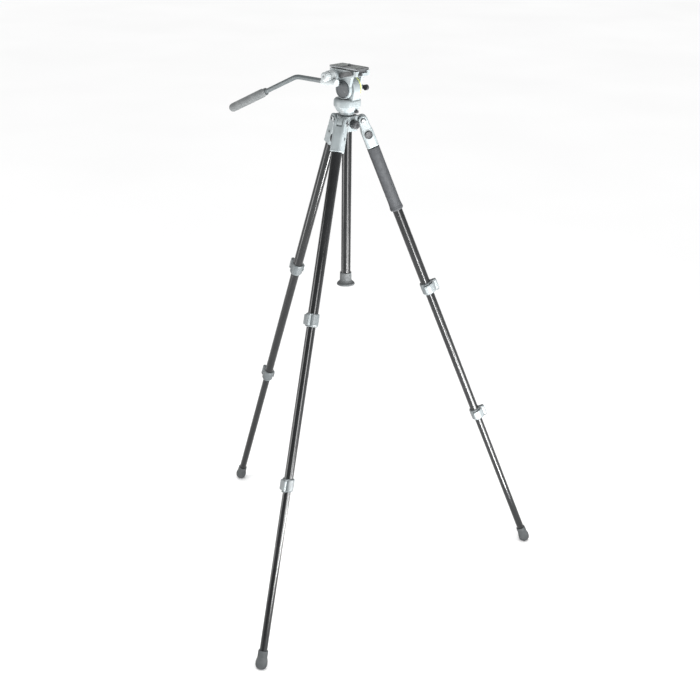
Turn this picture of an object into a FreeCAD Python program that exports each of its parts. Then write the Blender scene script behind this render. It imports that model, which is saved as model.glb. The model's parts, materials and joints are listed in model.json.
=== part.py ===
"""Video tripod with a fluid head: three telescopic legs, centre column and pan-and-tilt head.

Millimetres.  The origin is on the floor under the column's axis, +Z up.  The three feet
stand on z = 0; the front leg points along -Y.  Every size below is a cell of the sheet
"sizes", and the outlines are bound to those cells.

Three local frames are used, and a piece's Placement carries it from its frame to its place:
  leg frame   origin on the leg's hinge, -Z down the leg, +X away from the column
  head frame  +X forwards over the lens side, +Y to the head's left, heights from the floor
  knob frame  +Z along the knob's own axis, away from what it screws into
"""
import FreeCAD, Part
import Sketcher
import os
import re

SIZES = {
    # legs
    "leg_spread": 21.967,
    "hinge_radius": 38.6,
    "hinge_height": 1286.3,
    "hinge_bolt_radius": 4.0,
    "casting_width": 31.0,
    "casting_end": 72.0,
    "casting_round": 12.5,
    "casting_bevel": 6.0,
    "fork_gap": 14.0,
    "fork_depth": 17.0,
    "fork_reach": 20.0,
    "fork_floor_end": 6.0,
    "fork_sill": 17.0,
    "bolt_head_radius": 7.0,
    "stop_place": 38.0,
    "stop_travel": 6.0,
    "stop_bar_radius": 4.0,
    "stop_pad_radius": 10.5,
    "stop_pad_thickness": 4.3,
    "stop_pad_stand_off": 0.4,
    "tube_wall": 1.2,
    "upper_tube_radius": 13.0,
    "middle_tube_radius": 11.5,
    "lower_tube_radius": 10.0,
    "upper_tube_start": 50.0,
    "middle_tube_start": 430.0,
    "lower_tube_start": 850.0,
    "upper_lock_place": 490.9,
    "lower_lock_place": 909.8,
    "lock_height": 34.0,
    "lock_wall": 4.0,
    "lever_height": 26.0,
    "lever_thickness": 4.0,
    "lever_head_radius": 6.2,
    "lever_pin_radius": 2.0,
    "foot_top": 1338.0,
    "foot_tube_end": 1352.0,
    "foot_ball_place": 1373.0,
    "foot_ball_radius": 15.5,
    "sleeve_start": 73.0,
    "sleeve_end": 252.0,
    "sleeve_radius": 16.0,
    # hub and column
    "hub_bottom": 1262.0,
    "hub_top": 1299.0,
    "hub_flat": 24.0,
    "hub_flat_half_width": 13.0,
    "lug_width": 13.4,
    "bush_radius": 15.0,
    "column_radius": 12.5,
    "column_wall": 1.6,
    "column_bottom": 850.0,
    "column_foot_radius": 24.5,
    "column_cap_top": 873.0,
    "top_plate_bottom": 1299.6,
    "top_plate_top": 1309.7,
    "top_plate_radius": 18.0,
    "stud_radius": 4.7,
    # head
    "drum_radius": 34.0,
    "drum_bottom": 1323.4,
    "drum_top": 1341.0,
    "spigot_radius": 20.0,
    "tilt_forward": 5.5,
    "tilt_height": 1366.0,
    "barrel_radius": 29.5,
    "barrel_half_width": 13.0,
    "cartridge_radius": 21.0,
    "tilt_shaft_radius": 7.0,
    "cheek_radius": 24.0,
    "cheek_inner": 14.0,
    "cheek_outer": 22.5,
    "cap_radius": 21.5,
    "cap_thickness": 2.5,
    "deck_half_width": 24.5,
    "deck_back": -37.0,
    "deck_front": 52.0,
    "deck_bottom": 1401.0,
    "deck_top": 1408.0,
    "skirt_bottom": 1389.0,
    "rail_top": 1413.5,
    "slot_floor_half": 16.5,
    "slot_mouth_half": 13.6,
    "keel_play": 0.7,
    "cheek_web_front": 30.0,
    "cheek_web_back": 32.0,
    "tilt_lever_hub": 8.5,
    "tilt_lever_hub_length": 13.0,
    "tilt_lever_reach": 22.0,
    "tilt_lever_thickness": 6.0,
    "tilt_lever_paddle": 7.0,
    "plate_lever_pivot": 4.0,
    "plate_lever_length": 34.0,
    "plate_lever_width": 11.0,
    "plate_lever_thickness": 3.0,
    "plate_lever_pin": 2.0,
    "button_width": 13.0,
    "button_height": 4.8,
    "button_length": 7.8,
    "button_side": 17.3,
    "plate_length": 92.0,
    "plate_half_width": 23.0,
    "plate_bottom": 1415.0,
    "plate_top": 1419.6,
    "pad_top": 1421.0,
    "screw_radius": 3.175,
    "screw_neck_radius": 2.6,
    "screw_head_radius": 8.0,
    "screw_head_bottom": 1409.6,
    "screw_head_top": 1413.4,
    "screw_top": 1425.5,
    "rosette_back": -22.0,
    "rosette_height": 1397.0,
    "rosette_radius": 13.5,
    "rosette_face": 31.0,
    "clamp_face": 46.0,
    "clamp_bolt_radius": 4.0,
    "arm_side": 39.8,
    "arm_radius": 6.0,
    "arm_wall": 1.2,
    "arm_start": -8.0,
    "arm_start_height": 1382.2,
    "arm_first_drop": 0.8,
    "arm_second_drop": 24.9,
    "arm_first_length": 118.0,
    "arm_bend_radius": 60.0,
    "arm_second_length": 258.0,
    "grip_radius": 11.5,
    "grip_length": 155.0,
    # small working clearances
    "running": 0.05,
    "gap": 0.3,
}
LEGS = {"front": 270.0, "right": 30.0, "left": 150.0}
SLEEVED_LEG = "right"
HEAD_TURN = -21.6
PLATE_LEVER_RISE = 14.0
COLUMN_KNOB_TURN = 330.0
PAN_KNOB_TURN = HEAD_TURN
THROUGH = "200"

doc = FreeCAD.newDocument("tripod")
sheet = doc.addObject("Spreadsheet::Sheet", "sizes")
pieces = []


def fill_sheet():
    """One row per size: its name in column A, its plain number in column B."""
    for row, (name, number) in enumerate(SIZES.items(), start=1):
        sheet.set("A%d" % row, name)
        sheet.set("B%d" % row, str(number))
        sheet.setAlias("B%d" % row, name)
    doc.recompute()


def full(expression):
    """Put the sheet's name in front of every size named in an expression."""
    return re.sub(r"[a-z_]+", lambda m: "sizes." + m.group() if m.group() in SIZES else m.group(),
                  str(expression))


def value(expression):
    """The number that an expression has now."""
    return float(sheet.evalExpression(full(expression)))


def bind(thing, **sizes):
    """Bind properties of a document object to expressions in the sheet's names."""
    for name, expression in sizes.items():
        thing.setExpression(name, full(expression))


def spot(x=0.0, y=0.0, z=0.0, axis=(0, 0, 1), turn=0.0):
    """A placement: turned about an axis, then moved."""
    return FreeCAD.Placement(FreeCAD.Vector(x, y, z), FreeCAD.Rotation(FreeCAD.Vector(*axis), turn))


def keep(thing, label, place=None):
    """Register a finished piece under the name of its node, carried from its frame by place."""
    thing.Label = label
    if place is not None:
        thing.Placement = place.multiply(thing.Placement)
    pieces.append(thing)
    return thing


# ---- PartDesign helpers -------------------------------------------------------------------

def new_body(name):
    return doc.addObject("PartDesign::Body", name)


def new_sketch(body, plane, offset="0"):
    """A sketch on one of the body's own origin planes, moved along the plane's normal."""
    sketch = body.newObject("Sketcher::SketchObject", body.Name + "_outline")
    support = [f for f in body.Origin.OriginFeatures if f.Role == plane + "_Plane"][0]
    sketch.AttachmentSupport = [(support, "")]
    sketch.MapMode = "FlatFace"
    sketch.setExpression(".AttachmentOffset.Base.z", full(offset))
    return sketch


def add_outline(sketch, corners):
    """Closed outline of straight sides; both coordinates of each corner are bound to the sheet."""
    points = [FreeCAD.Vector(value(x), value(y), 0) for x, y in corners]
    first = sketch.GeometryCount
    count = len(points)
    for i in range(count):
        sketch.addGeometry(Part.LineSegment(points[i], points[(i + 1) % count]), False)
    for i in range(count):
        sketch.addConstraint(Sketcher.Constraint("Coincident", first + i, 2, first + (i + 1) % count, 1))
    for i, (x, y) in enumerate(corners):
        add_distance(sketch, "DistanceX", first + i, 1, x)
        add_distance(sketch, "DistanceY", first + i, 1, y)


def add_circle(sketch, x, y, radius):
    """Circle whose centre and radius are bound to the sheet."""
    centre = FreeCAD.Vector(value(x), value(y), 0)
    index = sketch.addGeometry(Part.Circle(centre, FreeCAD.Vector(0, 0, 1), value(radius)), False)
    add_distance(sketch, "DistanceX", index, 3, x)
    add_distance(sketch, "DistanceY", index, 3, y)
    constraint = sketch.addConstraint(Sketcher.Constraint("Radius", index, value(radius)))
    sketch.setExpression("Constraints[%d]" % constraint, full(radius))


def add_distance(sketch, kind, geometry, point, expression):
    """One coordinate of a point, measured from the sketch's origin."""
    constraint = sketch.addConstraint(Sketcher.Constraint(kind, -1, 1, geometry, point, value(expression)))
    sketch.setExpression("Constraints[%d]" % constraint, full(expression))


def feature(body, kind, sketch, length, one_way=False, back=False):
    """Pad or Pocket; both ways from the sketch unless one_way."""
    made = body.newObject("PartDesign::" + kind, body.Name + "_" + kind.lower())
    made.Profile = sketch
    made.SideType = "One side" if one_way else "Symmetric"
    made.Reversed = back
    bind(made, Length=length)
    return made


def turned(name, outline):
    """Body turned about its own Z axis from an outline of (radius, height) corners."""
    body = new_body(name)
    sketch = new_sketch(body, "XZ")
    add_outline(sketch, outline)
    turn = body.newObject("PartDesign::Revolution", name + "_turn")
    turn.Profile = sketch
    turn.ReferenceAxis = (sketch, ["V_Axis"])
    turn.Angle = 360
    return body


def tube(name, radius, wall, bottom, top):
    """Plain round tube about Z."""
    inner = "%s - (%s)" % (radius, wall)
    return turned(name, [(inner, bottom), (radius, bottom), (radius, top), (inner, top)])


def soften(body, radius, chosen):
    """Fillet the edges of a body's solid that chosen() picks; chosen gets the edge."""
    doc.recompute()
    base = body.Tip
    names = ["Edge%d" % (i + 1) for i, edge in enumerate(base.Shape.Edges) if chosen(edge)]
    if names:
        fillet = body.newObject("PartDesign::Fillet", body.Name + "_fillet")
        fillet.Base = (base, names)
        fillet.Radius = radius
    return body


# ---- Part helpers -------------------------------------------------------------------------

def cylinder(radius, height, place=None, angle=None):
    made = doc.addObject("Part::Cylinder", "round")
    bind(made, Radius=radius, Height=height)
    if angle is not None:
        made.Angle = angle
    if place is not None:
        made.Placement = place
    return made


def cross_rod(radius, side, length, x="0", z="0"):
    """Cylinder along +Y that starts at y = side."""
    place = spot(value(x), value(side), value(z), (1, 0, 0), -90)
    return cylinder(radius, length, place)


def block(length, width, height, x, y, z):
    """Box with its low corner at (x, y, z)."""
    made = doc.addObject("Part::Box", "block")
    bind(made, Length=length, Width=width, Height=height)
    made.Placement = spot(value(x), value(y), value(z))
    return made


def fused(*things):
    made = doc.addObject("Part::MultiFuse", "joined")
    made.Shapes = list(things)
    made.Refine = True
    return made


def cut(base, *tools):
    made = doc.addObject("Part::Cut", "trimmed")
    made.Base = base
    made.Tool = tools[0] if len(tools) == 1 else fused(*tools)
    made.Refine = True
    return made


def group(*things):
    """Separate solids that share one node."""
    made = doc.addObject("Part::Compound", "set")
    made.Links = list(things)
    return made


# ---- places ---------------------------------------------------------------------------------

def leg_place(turn):
    """Leg frame at its hinge, leaning outwards by the leg's spread."""
    lean = spot(value("hinge_radius"), 0, value("hinge_height"), (0, 1, 0), -value("leg_spread"))
    return spot(axis=(0, 0, 1), turn=turn).multiply(lean)


def head_place():
    return spot(axis=(0, 0, 1), turn=HEAD_TURN)


def outward_place(turn, radius, height):
    """Knob frame with its axis level, pointing away from the column."""
    lay_down = spot(radius, 0, height, (0, 1, 0), 90)
    return spot(axis=(0, 0, 1), turn=turn).multiply(lay_down)


def side_place(x, y, z):
    """Knob frame with its axis along the head's right-hand side (-Y of the head frame)."""
    return head_place().multiply(spot(x, y, z, (1, 0, 0), 90))


def far_side_place(x, y, z):
    """Knob frame with its axis along the head's left-hand side."""
    return head_place().multiply(spot(x, y, z, (1, 0, 0), -90))


# ---- leg pieces, in the leg frame -------------------------------------------------------------

def leg_casting(leg, place):
    """Forked casting that hangs on the hub's lug and holds the upper tube in its socket."""
    body = new_body(leg + "_casting")
    knuckle = new_sketch(body, "XZ")
    add_circle(knuckle, "0", "0", "casting_round")
    feature(body, "Pad", knuckle, "casting_width")
    shank = new_sketch(body, "XZ")
    add_outline(shank, [
        ("-casting_round", "0"),
        ("casting_round", "0"),
        ("casting_width / 2", "-fork_depth - 5"),
        ("casting_width / 2", "4 - casting_end"),
        ("casting_width / 2 - 3", "-casting_end"),
        ("3 - casting_width / 2", "-casting_end"),
        ("-casting_width / 2", "4 - casting_end"),
        ("-casting_width / 2", "-fork_depth - 18"),
        ("-casting_round", "-fork_depth - 10"),
    ])
    feature(body, "Pad", shank, "casting_width")
    corners = new_sketch(body, "XY")
    for x in ("", "-"):
        for y in ("", "-"):
            add_outline(corners, [
                (x + "(casting_width / 2 + 1)", y + "(casting_width / 2 + 1)"),
                (x + "(casting_width / 2 + 1)", y + "(casting_width / 2 - casting_bevel)"),
                (x + "(casting_width / 2 - casting_bevel)", y + "(casting_width / 2 + 1)"),
            ])
    feature(body, "Pocket", corners, THROUGH)
    fork = new_sketch(body, "XZ")
    add_outline(fork, [
        ("-fork_reach", "-fork_depth"),
        ("fork_floor_end", "-fork_depth"),
        ("fork_sill", "-2"),
        ("fork_sill", "fork_reach"),
        ("-fork_reach", "fork_reach"),
    ])
    feature(body, "Pocket", fork, "fork_gap")
    bolt = new_sketch(body, "XZ")
    add_circle(bolt, "0", "0", "hinge_bolt_radius + running")
    feature(body, "Pocket", bolt, THROUGH)
    slot = new_sketch(body, "XZ")
    side = "stop_bar_radius + gap"
    add_outline(slot, [
        ("-" + side.replace("+", "-"), "-stop_place - stop_travel - stop_bar_radius - gap"),
        (side, "-stop_place - stop_travel - stop_bar_radius - gap"),
        (side, "-stop_place + stop_bar_radius + gap"),
        ("-" + side.replace("+", "-"), "-stop_place + stop_bar_radius + gap"),
    ])
    feature(body, "Pocket", slot, THROUGH)
    socket = new_sketch(body, "XY", "-casting_end")
    add_circle(socket, "0", "0", "upper_tube_radius")
    feature(body, "Pocket", socket, "casting_end - upper_tube_start", one_way=True, back=True)
    keep(body, leg + "_casting", place)


def angle_stop(leg, place):
    """Sprung cross bar that locks the leg's spread, with a round thumb pad at its near end."""
    reach = "casting_width / 2 + stop_pad_stand_off + stop_pad_thickness"
    bar = cross_rod("stop_bar_radius", "-(%s)" % reach, "casting_width / 2 + " + reach, z="-stop_place")
    pad = cross_rod("stop_pad_radius", "-(%s)" % reach, "stop_pad_thickness", z="-stop_place")
    keep(fused(bar, pad), leg + "_angle_stop", place)


def leg_tubes(leg, place):
    """Three nested tubes; each is held by the collar at the lower end of the one above."""
    upper = tube(leg + "_upper", "upper_tube_radius", "tube_wall",
                 "-upper_lock_place + 4", "-upper_tube_start")
    keep(upper, leg + "_upper_tube", place)
    middle = tube(leg + "_middle", "middle_tube_radius", "tube_wall",
                  "-lower_lock_place + 4", "-middle_tube_start")
    keep(middle, leg + "_middle_tube", place)
    lower = tube(leg + "_lower", "lower_tube_radius", "tube_wall", "-foot_tube_end", "-lower_tube_start")
    keep(lower, leg + "_lower_tube", place)


def lever_pin_x(outer):
    """Distance of the lever's pin from the leg's axis."""
    return "%s + lock_wall + lever_head_radius + 2 * gap + 1" % outer


def leg_lock(leg, which, outer, inner, centre, place):
    """Clamp collar on the outer tube with two ears and a pin, and the cam lever between them."""
    middle = place.multiply(spot(z=-value(centre)))
    body = turned("%s_%s_ring" % (leg, which), [
        (inner + " + running", "-lock_height / 2"),
        (inner + " + lock_wall", "-lock_height / 2"),
        (outer + " + lock_wall", "3 - lock_height / 2"),
        (outer + " + lock_wall", "lock_height / 2 - 2"),
        (outer + " + lock_wall - 2", "lock_height / 2"),
        (outer, "lock_height / 2"),
        (outer, "4"),
        (inner + " + running", "4"),
    ])
    pin_x = lever_pin_x(outer)
    ears = new_sketch(body, "XY")
    add_outline(ears, [
        (outer + " + 1", "-6"),
        (pin_x, "-5"),
        (pin_x + " + 4", "-3"),
        (pin_x + " + 4", "3"),
        (pin_x, "5"),
        (outer + " + 1", "6"),
    ])
    feature(body, "Pad", ears, "lock_height")
    room = new_sketch(body, "XZ")
    head_room = "lever_height / 2 + gap"
    add_outline(room, [
        (outer + " + lock_wall - 0.6", "-(%s)" % head_room),
        ("60", "-(%s)" % head_room),
        ("60", head_room),
        (outer + " + lock_wall - 0.6", head_room),
    ])
    feature(body, "Pocket", room, THROUGH)
    pin_hole = new_sketch(body, "XY")
    add_circle(pin_hole, pin_x, "0", "lever_pin_radius")
    feature(body, "Pocket", pin_hole, THROUGH)
    pin = cylinder("lever_pin_radius", "lock_height", spot(value(pin_x), 0, -value("lock_height") / 2))
    keep(group(body, pin), "%s_%s_lock_collar" % (leg, which), middle)
    leg_lever(leg, which, outer, pin_x, middle)


def leg_lever(leg, which, outer, pin_x, middle):
    """Curved lever that hugs the collar and turns about a pin parallel to the tube."""
    wrap = 128.0
    half = value("lever_height") / 2
    hug = outer + " + lock_wall + 0.8"
    sweep = cylinder(hug + " + lever_thickness", "lever_height", spot(z=-half, turn=-wrap + 6), wrap)
    hollow = cylinder(hug, "lever_height + 2", spot(z=-half - 1))
    head = cylinder("lever_head_radius", "lever_height", spot(value(pin_x), 0, -half))
    bore = cylinder("lever_pin_radius + running", "lever_height + 2", spot(value(pin_x), 0, -half - 1))
    keep(cut(fused(cut(sweep, hollow), head), bore), "%s_%s_lock_lever" % (leg, which), middle)


def foot(leg, place):
    """Rubber boot with a ball sole, cut level where it stands on the floor."""
    boot = turned(leg + "_boot", [
        ("0", "-foot_tube_end"),
        ("lower_tube_radius", "-foot_tube_end"),
        ("lower_tube_radius", "-foot_top"),
        ("lower_tube_radius + 2.6", "-foot_top"),
        ("lower_tube_radius + 3.2", "-foot_top - 3"),
        ("foot_ball_radius", "-foot_ball_place + 8"),
        ("foot_ball_radius", "-foot_ball_place"),
        ("0", "-foot_ball_place"),
    ])
    ball = doc.addObject("Part::Sphere", "ball")
    bind(ball, Radius="foot_ball_radius")
    ball.Placement = spot(z=-value("foot_ball_place"))
    along = value("hinge_height / cos(leg_spread)")
    floor = doc.addObject("Part::Box", "floor")
    bind(floor, Length="80", Width="80", Height="40")
    floor.Placement = spot(z=-along, axis=(0, 1, 0), turn=value("leg_spread")).multiply(spot(-40, -40, -40))
    keep(cut(fused(boot, ball), floor), leg + "_foot", place)


def grip_sleeve(leg, place):
    """Foam sleeve on the upper tube, flared at its lower end."""
    body = turned(leg + "_sleeve", [
        ("upper_tube_radius + running", "-sleeve_end"),
        ("sleeve_radius + 1", "-sleeve_end"),
        ("sleeve_radius + 1.6", "-sleeve_end + 3"),
        ("sleeve_radius", "-sleeve_end + 12"),
        ("sleeve_radius", "-sleeve_start - 2"),
        ("sleeve_radius - 1", "-sleeve_start"),
        ("upper_tube_radius + running", "-sleeve_start"),
    ])
    keep(body, leg + "_grip_sleeve", place)


def leg_pieces(leg, turn):
    place = leg_place(turn)
    leg_casting(leg, place)
    angle_stop(leg, place)
    leg_tubes(leg, place)
    leg_lock(leg, "upper", "upper_tube_radius", "middle_tube_radius", "upper_lock_place", place)
    leg_lock(leg, "lower", "middle_tube_radius", "lower_tube_radius", "lower_lock_place", place)
    foot(leg, place)
    if leg == SLEEVED_LEG:
        grip_sleeve(leg, place)


# ---- hub and column, heights from the floor -----------------------------------------------------

def hub_lug(turn):
    """Lug for one leg's hinge, with its rounded end about the hinge."""
    frame = spot(axis=(0, 0, 1), turn=turn)
    half = value("lug_width") / 2
    lug_round = "casting_round - 1"
    low = value("hinge_height - (%s)" % lug_round)
    arm = doc.addObject("Part::Box", "lug_arm")
    bind(arm, Length="hinge_radius - 16", Width="lug_width", Height="2 * (%s)" % lug_round)
    arm.Placement = frame.multiply(spot(16, -half, low))
    end = cylinder(lug_round, "lug_width")
    end.Placement = frame.multiply(spot(value("hinge_radius"), -half, value("hinge_height"), (1, 0, 0), -90))
    return [arm, end]


def hinge_hole(turn):
    frame = spot(axis=(0, 0, 1), turn=turn)
    hole = cylinder("hinge_bolt_radius", "60")
    hole.Placement = frame.multiply(spot(value("hinge_radius"), -30, value("hinge_height"), (1, 0, 0), -90))
    return hole


def spider_hub():
    """Six-sided hub with a flat and a lug towards each leg, bored for the column's bush."""
    body = new_body("hub_core")
    sketch = new_sketch(body, "XY", "hub_bottom")
    corners = []
    for turn in sorted(LEGS.values()):
        for sign in ("-", "+"):
            other = "+" if sign == "-" else "-"
            x = "hub_flat * cos(%g) %s hub_flat_half_width * sin(%g)" % (turn, other, turn)
            y = "hub_flat * sin(%g) %s hub_flat_half_width * cos(%g)" % (turn, sign, turn)
            corners.append((x, y))
    add_outline(sketch, corners)
    feature(body, "Pad", sketch, "hub_top - hub_bottom", one_way=True)
    parts = [body]
    for turn in LEGS.values():
        parts.extend(hub_lug(turn))
    boss = cylinder("9", "12")
    boss.Placement = outward_place(COLUMN_KNOB_TURN, 17.0, value("hinge_height") - 6)
    parts.append(boss)
    bore = cylinder("bush_radius", "60", spot(z=value("hub_bottom") - 10))
    knob_hole = cylinder("3 + running", "40")
    knob_hole.Placement = outward_place(COLUMN_KNOB_TURN, 5.0, value("hinge_height") - 6)
    holes = [hinge_hole(turn) for turn in LEGS.values()]
    keep(cut(fused(*parts), bore, knob_hole, *holes), "spider_hub")


def column_bush():
    """Plastic sleeve in the hub that guides the column."""
    body = tube("bush", "bush_radius", "bush_radius - column_radius - running", "hub_bottom", "hub_top")
    keep(body, "column_bush")


def hinge_bolts():
    """One bolt through each lug, with a round socket head at either side of the fork."""
    bolts = []
    for turn in LEGS.values():
        frame = spot(axis=(0, 0, 1), turn=turn)
        half = value("casting_width") / 2 + 0.2
        shank = ("hinge_bolt_radius", -half, half)
        heads = [("bolt_head_radius", -half - 3, -half), ("bolt_head_radius", half, half + 3)]
        for radius, low, high in [shank] + heads:
            rod = cylinder(radius, str(high - low))
            rod.Placement = frame.multiply(
                spot(value("hinge_radius"), low, value("hinge_height"), (1, 0, 0), -90))
            bolts.append(rod)
    whole = [fused(*bolts[i:i + 3]) for i in range(0, len(bolts), 3)]
    keep(group(*whole), "hinge_bolts")


def knob(label, radius, length, shank_radius, shank_length, place):
    """Round knob on a screwed shank; the shank points back along -Z."""
    body = turned(label + "_knob", [
        ("0", "-(%s)" % shank_length),
        (shank_radius, "-(%s)" % shank_length),
        (shank_radius, "0"),
        (radius + " * 0.8", "0"),
        (radius, "2"),
        (radius, length + " - 2"),
        (radius + " - 2", length),
        ("0", length),
    ])
    keep(body, label, place)


def column_pieces():
    keep(tube("column", "column_radius", "column_wall", "column_cap_top", "top_plate_bottom"), "column_tube")
    plate = turned("column_top", [
        ("stud_radius", "top_plate_bottom - 14"),
        ("column_radius - column_wall", "top_plate_bottom - 14"),
        ("column_radius - column_wall", "top_plate_bottom"),
        ("top_plate_radius - 2", "top_plate_bottom"),
        ("top_plate_radius", "top_plate_bottom + 3"),
        ("top_plate_radius", "top_plate_top"),
        ("stud_radius", "top_plate_top"),
    ])
    keep(plate, "column_top_plate")
    end = turned("column_end", [
        ("0", "column_bottom"),
        ("column_foot_radius - 2", "column_bottom"),
        ("column_foot_radius", "column_bottom + 3"),
        ("column_foot_radius", "column_bottom + 8"),
        ("column_radius + 1", "column_bottom + 13"),
        ("column_radius + 1", "column_cap_top"),
        ("column_radius - column_wall", "column_cap_top"),
        ("column_radius - column_wall", "column_cap_top + 12"),
        ("0", "column_cap_top + 12"),
    ])
    keep(end, "column_foot")
    stud = cylinder("stud_radius", "32", spot(z=value("top_plate_bottom") - 14))
    keep(stud, "head_stud")


# ---- head, in the head frame ------------------------------------------------------------------

def pan_base():
    """Fixed cone under the drum with the pan spigot that the head turns on."""
    body = turned("pan_cone", [
        ("stud_radius", "top_plate_top"),
        ("drum_radius - 8", "top_plate_top"),
        ("drum_radius - 0.6", "drum_bottom - gap"),
        ("spigot_radius", "drum_bottom - gap"),
        ("spigot_radius", "drum_top - 5"),
        ("stud_radius", "drum_top - 5"),
    ])
    doc.recompute()
    hole = cylinder("1.6 + running", "20")
    hole.Placement = outward_place(0, 14.0, value("top_plate_top") + 2.5)
    keep(cut(body, hole), "pan_base", head_place())


def head_body():
    """Turning drum with the upright barrel that holds the tilt cartridge."""
    drum = turned("drum", [
        ("spigot_radius + running", "drum_bottom"),
        ("drum_radius", "drum_bottom"),
        ("drum_radius", "drum_top - 6"),
        ("drum_radius - 1.2", "drum_top - 2.6"),
        ("drum_radius - 4", "drum_top"),
        ("0", "drum_top"),
        ("0", "drum_top - 4.6"),
        ("spigot_radius + running", "drum_top - 4.6"),
    ])
    post = new_body("post")
    side = new_sketch(post, "XZ")
    add_outline(side, [
        ("tilt_forward - 22", "drum_top - 1"),
        ("tilt_forward + 25", "drum_top - 1"),
        ("tilt_forward + barrel_radius - 0.5", "tilt_height - 6"),
        ("tilt_forward", "tilt_height"),
        ("0.5 + tilt_forward - barrel_radius", "tilt_height - 6"),
    ])
    feature(post, "Pad", side, "2 * barrel_half_width")
    barrel = cross_rod("barrel_radius", "-barrel_half_width", "2 * barrel_half_width",
                       "tilt_forward", "tilt_height")
    bore = cross_rod("cartridge_radius", "-40", "80", "tilt_forward", "tilt_height")
    keep(cut(fused(drum, post, barrel), bore), "head_body", head_place())


def accent_ring():
    """Thin coloured ring round the barrel's left-hand end."""
    outer = cross_rod("barrel_radius + 1.2", "barrel_half_width - 3.2", "2.6", "tilt_forward", "tilt_height")
    inner = cross_rod("barrel_radius", "0", "40", "tilt_forward", "tilt_height")
    below = block("80", "40", "20", "tilt_forward - 40", "0", "drum_top + 1.5 - 20")
    keep(cut(outer, inner, below), "accent_ring", head_place())


def tilt_cartridge():
    """Sealed fluid cartridge fixed in the barrel round the tilt shaft."""
    outer = cross_rod("cartridge_radius", "-12.9", "25.8", "tilt_forward", "tilt_height")
    inner = cross_rod("tilt_shaft_radius + running", "-40", "80", "tilt_forward", "tilt_height")
    keep(cut(outer, inner), "tilt_cartridge", head_place())


def tilt_shaft():
    """Axle through the cartridge, keyed into both cheeks of the platform."""
    rod = cross_rod("tilt_shaft_radius", "-cheek_outer", "2 * cheek_outer", "tilt_forward", "tilt_height")
    keep(rod, "tilt_shaft", head_place())


def cheek(name, offset):
    """Cheek of the platform: a round about the tilt axis that widens up to the deck."""
    body = new_body(name)
    ball = new_sketch(body, "XZ", offset)
    add_circle(ball, "tilt_forward", "tilt_height", "cheek_radius")
    feature(body, "Pad", ball, "cheek_outer - cheek_inner")
    web = new_sketch(body, "XZ", offset)
    add_outline(web, [
        ("tilt_forward - cheek_radius + 1.5", "tilt_height + 8"),
        ("tilt_forward + cheek_radius - 1.5", "tilt_height + 8"),
        ("tilt_forward + cheek_web_front", "deck_bottom + 2"),
        ("tilt_forward - cheek_web_back", "deck_bottom + 2"),
    ])
    feature(body, "Pad", web, "cheek_outer - cheek_inner")
    return body


def skirt(name, low_y):
    """Side wall of the platform, with its lower edge rising towards the front."""
    body = new_body(name)
    sketch = new_sketch(body, "XZ", low_y)
    add_outline(sketch, [
        ("deck_back", "deck_top"),
        ("deck_back", "skirt_bottom + 3"),
        ("deck_back + 3", "skirt_bottom"),
        ("-6", "skirt_bottom"),
        ("deck_front", "deck_bottom + 1"),
        ("deck_front", "deck_top"),
    ])
    feature(body, "Pad", sketch, "deck_half_width - cheek_inner")
    return body


def rail(name, sign):
    """Dovetail rail beside the quick plate's keel."""
    body = new_body(name)
    sketch = new_sketch(body, "YZ", "(deck_back + deck_front) / 2")
    add_outline(sketch, [
        (sign + "slot_floor_half", "deck_top - 1"),
        (sign + "deck_half_width", "deck_top - 1"),
        (sign + "deck_half_width", "rail_top"),
        (sign + "slot_mouth_half", "rail_top"),
        (sign + "slot_floor_half", "deck_top"),
    ])
    feature(body, "Pad", sketch, "deck_front - deck_back")
    return body


def tilt_platform():
    """Deck, two cheeks, dovetail rails and the rosette boss, cast as one piece."""
    deck = block("deck_front - deck_back", "2 * deck_half_width", "deck_top - deck_bottom",
                 "deck_back", "-deck_half_width", "deck_bottom")
    middle = "(cheek_inner + cheek_outer) / 2"
    wall = "(cheek_inner + deck_half_width) / 2"
    parts = [
        deck,
        cheek("right_cheek", middle),
        cheek("left_cheek", "-" + middle),
        skirt("right_skirt", wall),
        skirt("left_skirt", "-" + wall),
        rail("right_rail", "-"),
        rail("left_rail", "+"),
        cross_rod("rosette_radius", "-rosette_face", "rosette_face - cheek_outer + 2",
                  "rosette_back", "rosette_height"),
    ]
    tools = [
        cross_rod("tilt_shaft_radius", "-60", "120", "tilt_forward", "tilt_height"),
        cross_rod("clamp_bolt_radius + running", "-60", "60 - cheek_inner + 2",
                  "rosette_back", "rosette_height"),
        block("button_length + 2.2", "button_width + 2 * gap", "button_height + 2 * gap",
              "deck_front - button_length - 0.2", "-button_side - gap", "deck_bottom + 1"),
        cross_rod("plate_lever_pin + running", "-deck_half_width - 1", "9",
                  "plate_lever_pivot", "deck_bottom - 1"),
        cross_rod("3 + running", "cheek_inner + 1", "12", "tilt_forward", "tilt_height"),
    ]
    keep(cut(fused(*parts), *tools), "tilt_platform", head_place())


def side_cap():
    """Round cover on the outside of the right-hand cheek."""
    body = turned("cap", [
        ("0", "0"),
        ("cap_radius", "0"),
        ("cap_radius", "cap_thickness - 0.8"),
        ("cap_radius - 0.8", "cap_thickness"),
        ("cap_radius - 2.4", "cap_thickness"),
        ("cap_radius - 3", "cap_thickness - 0.7"),
        ("0", "cap_thickness - 0.7"),
    ])
    keep(body, "side_cap", side_place(value("tilt_forward"), -value("cheek_outer"), value("tilt_height")))


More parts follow.
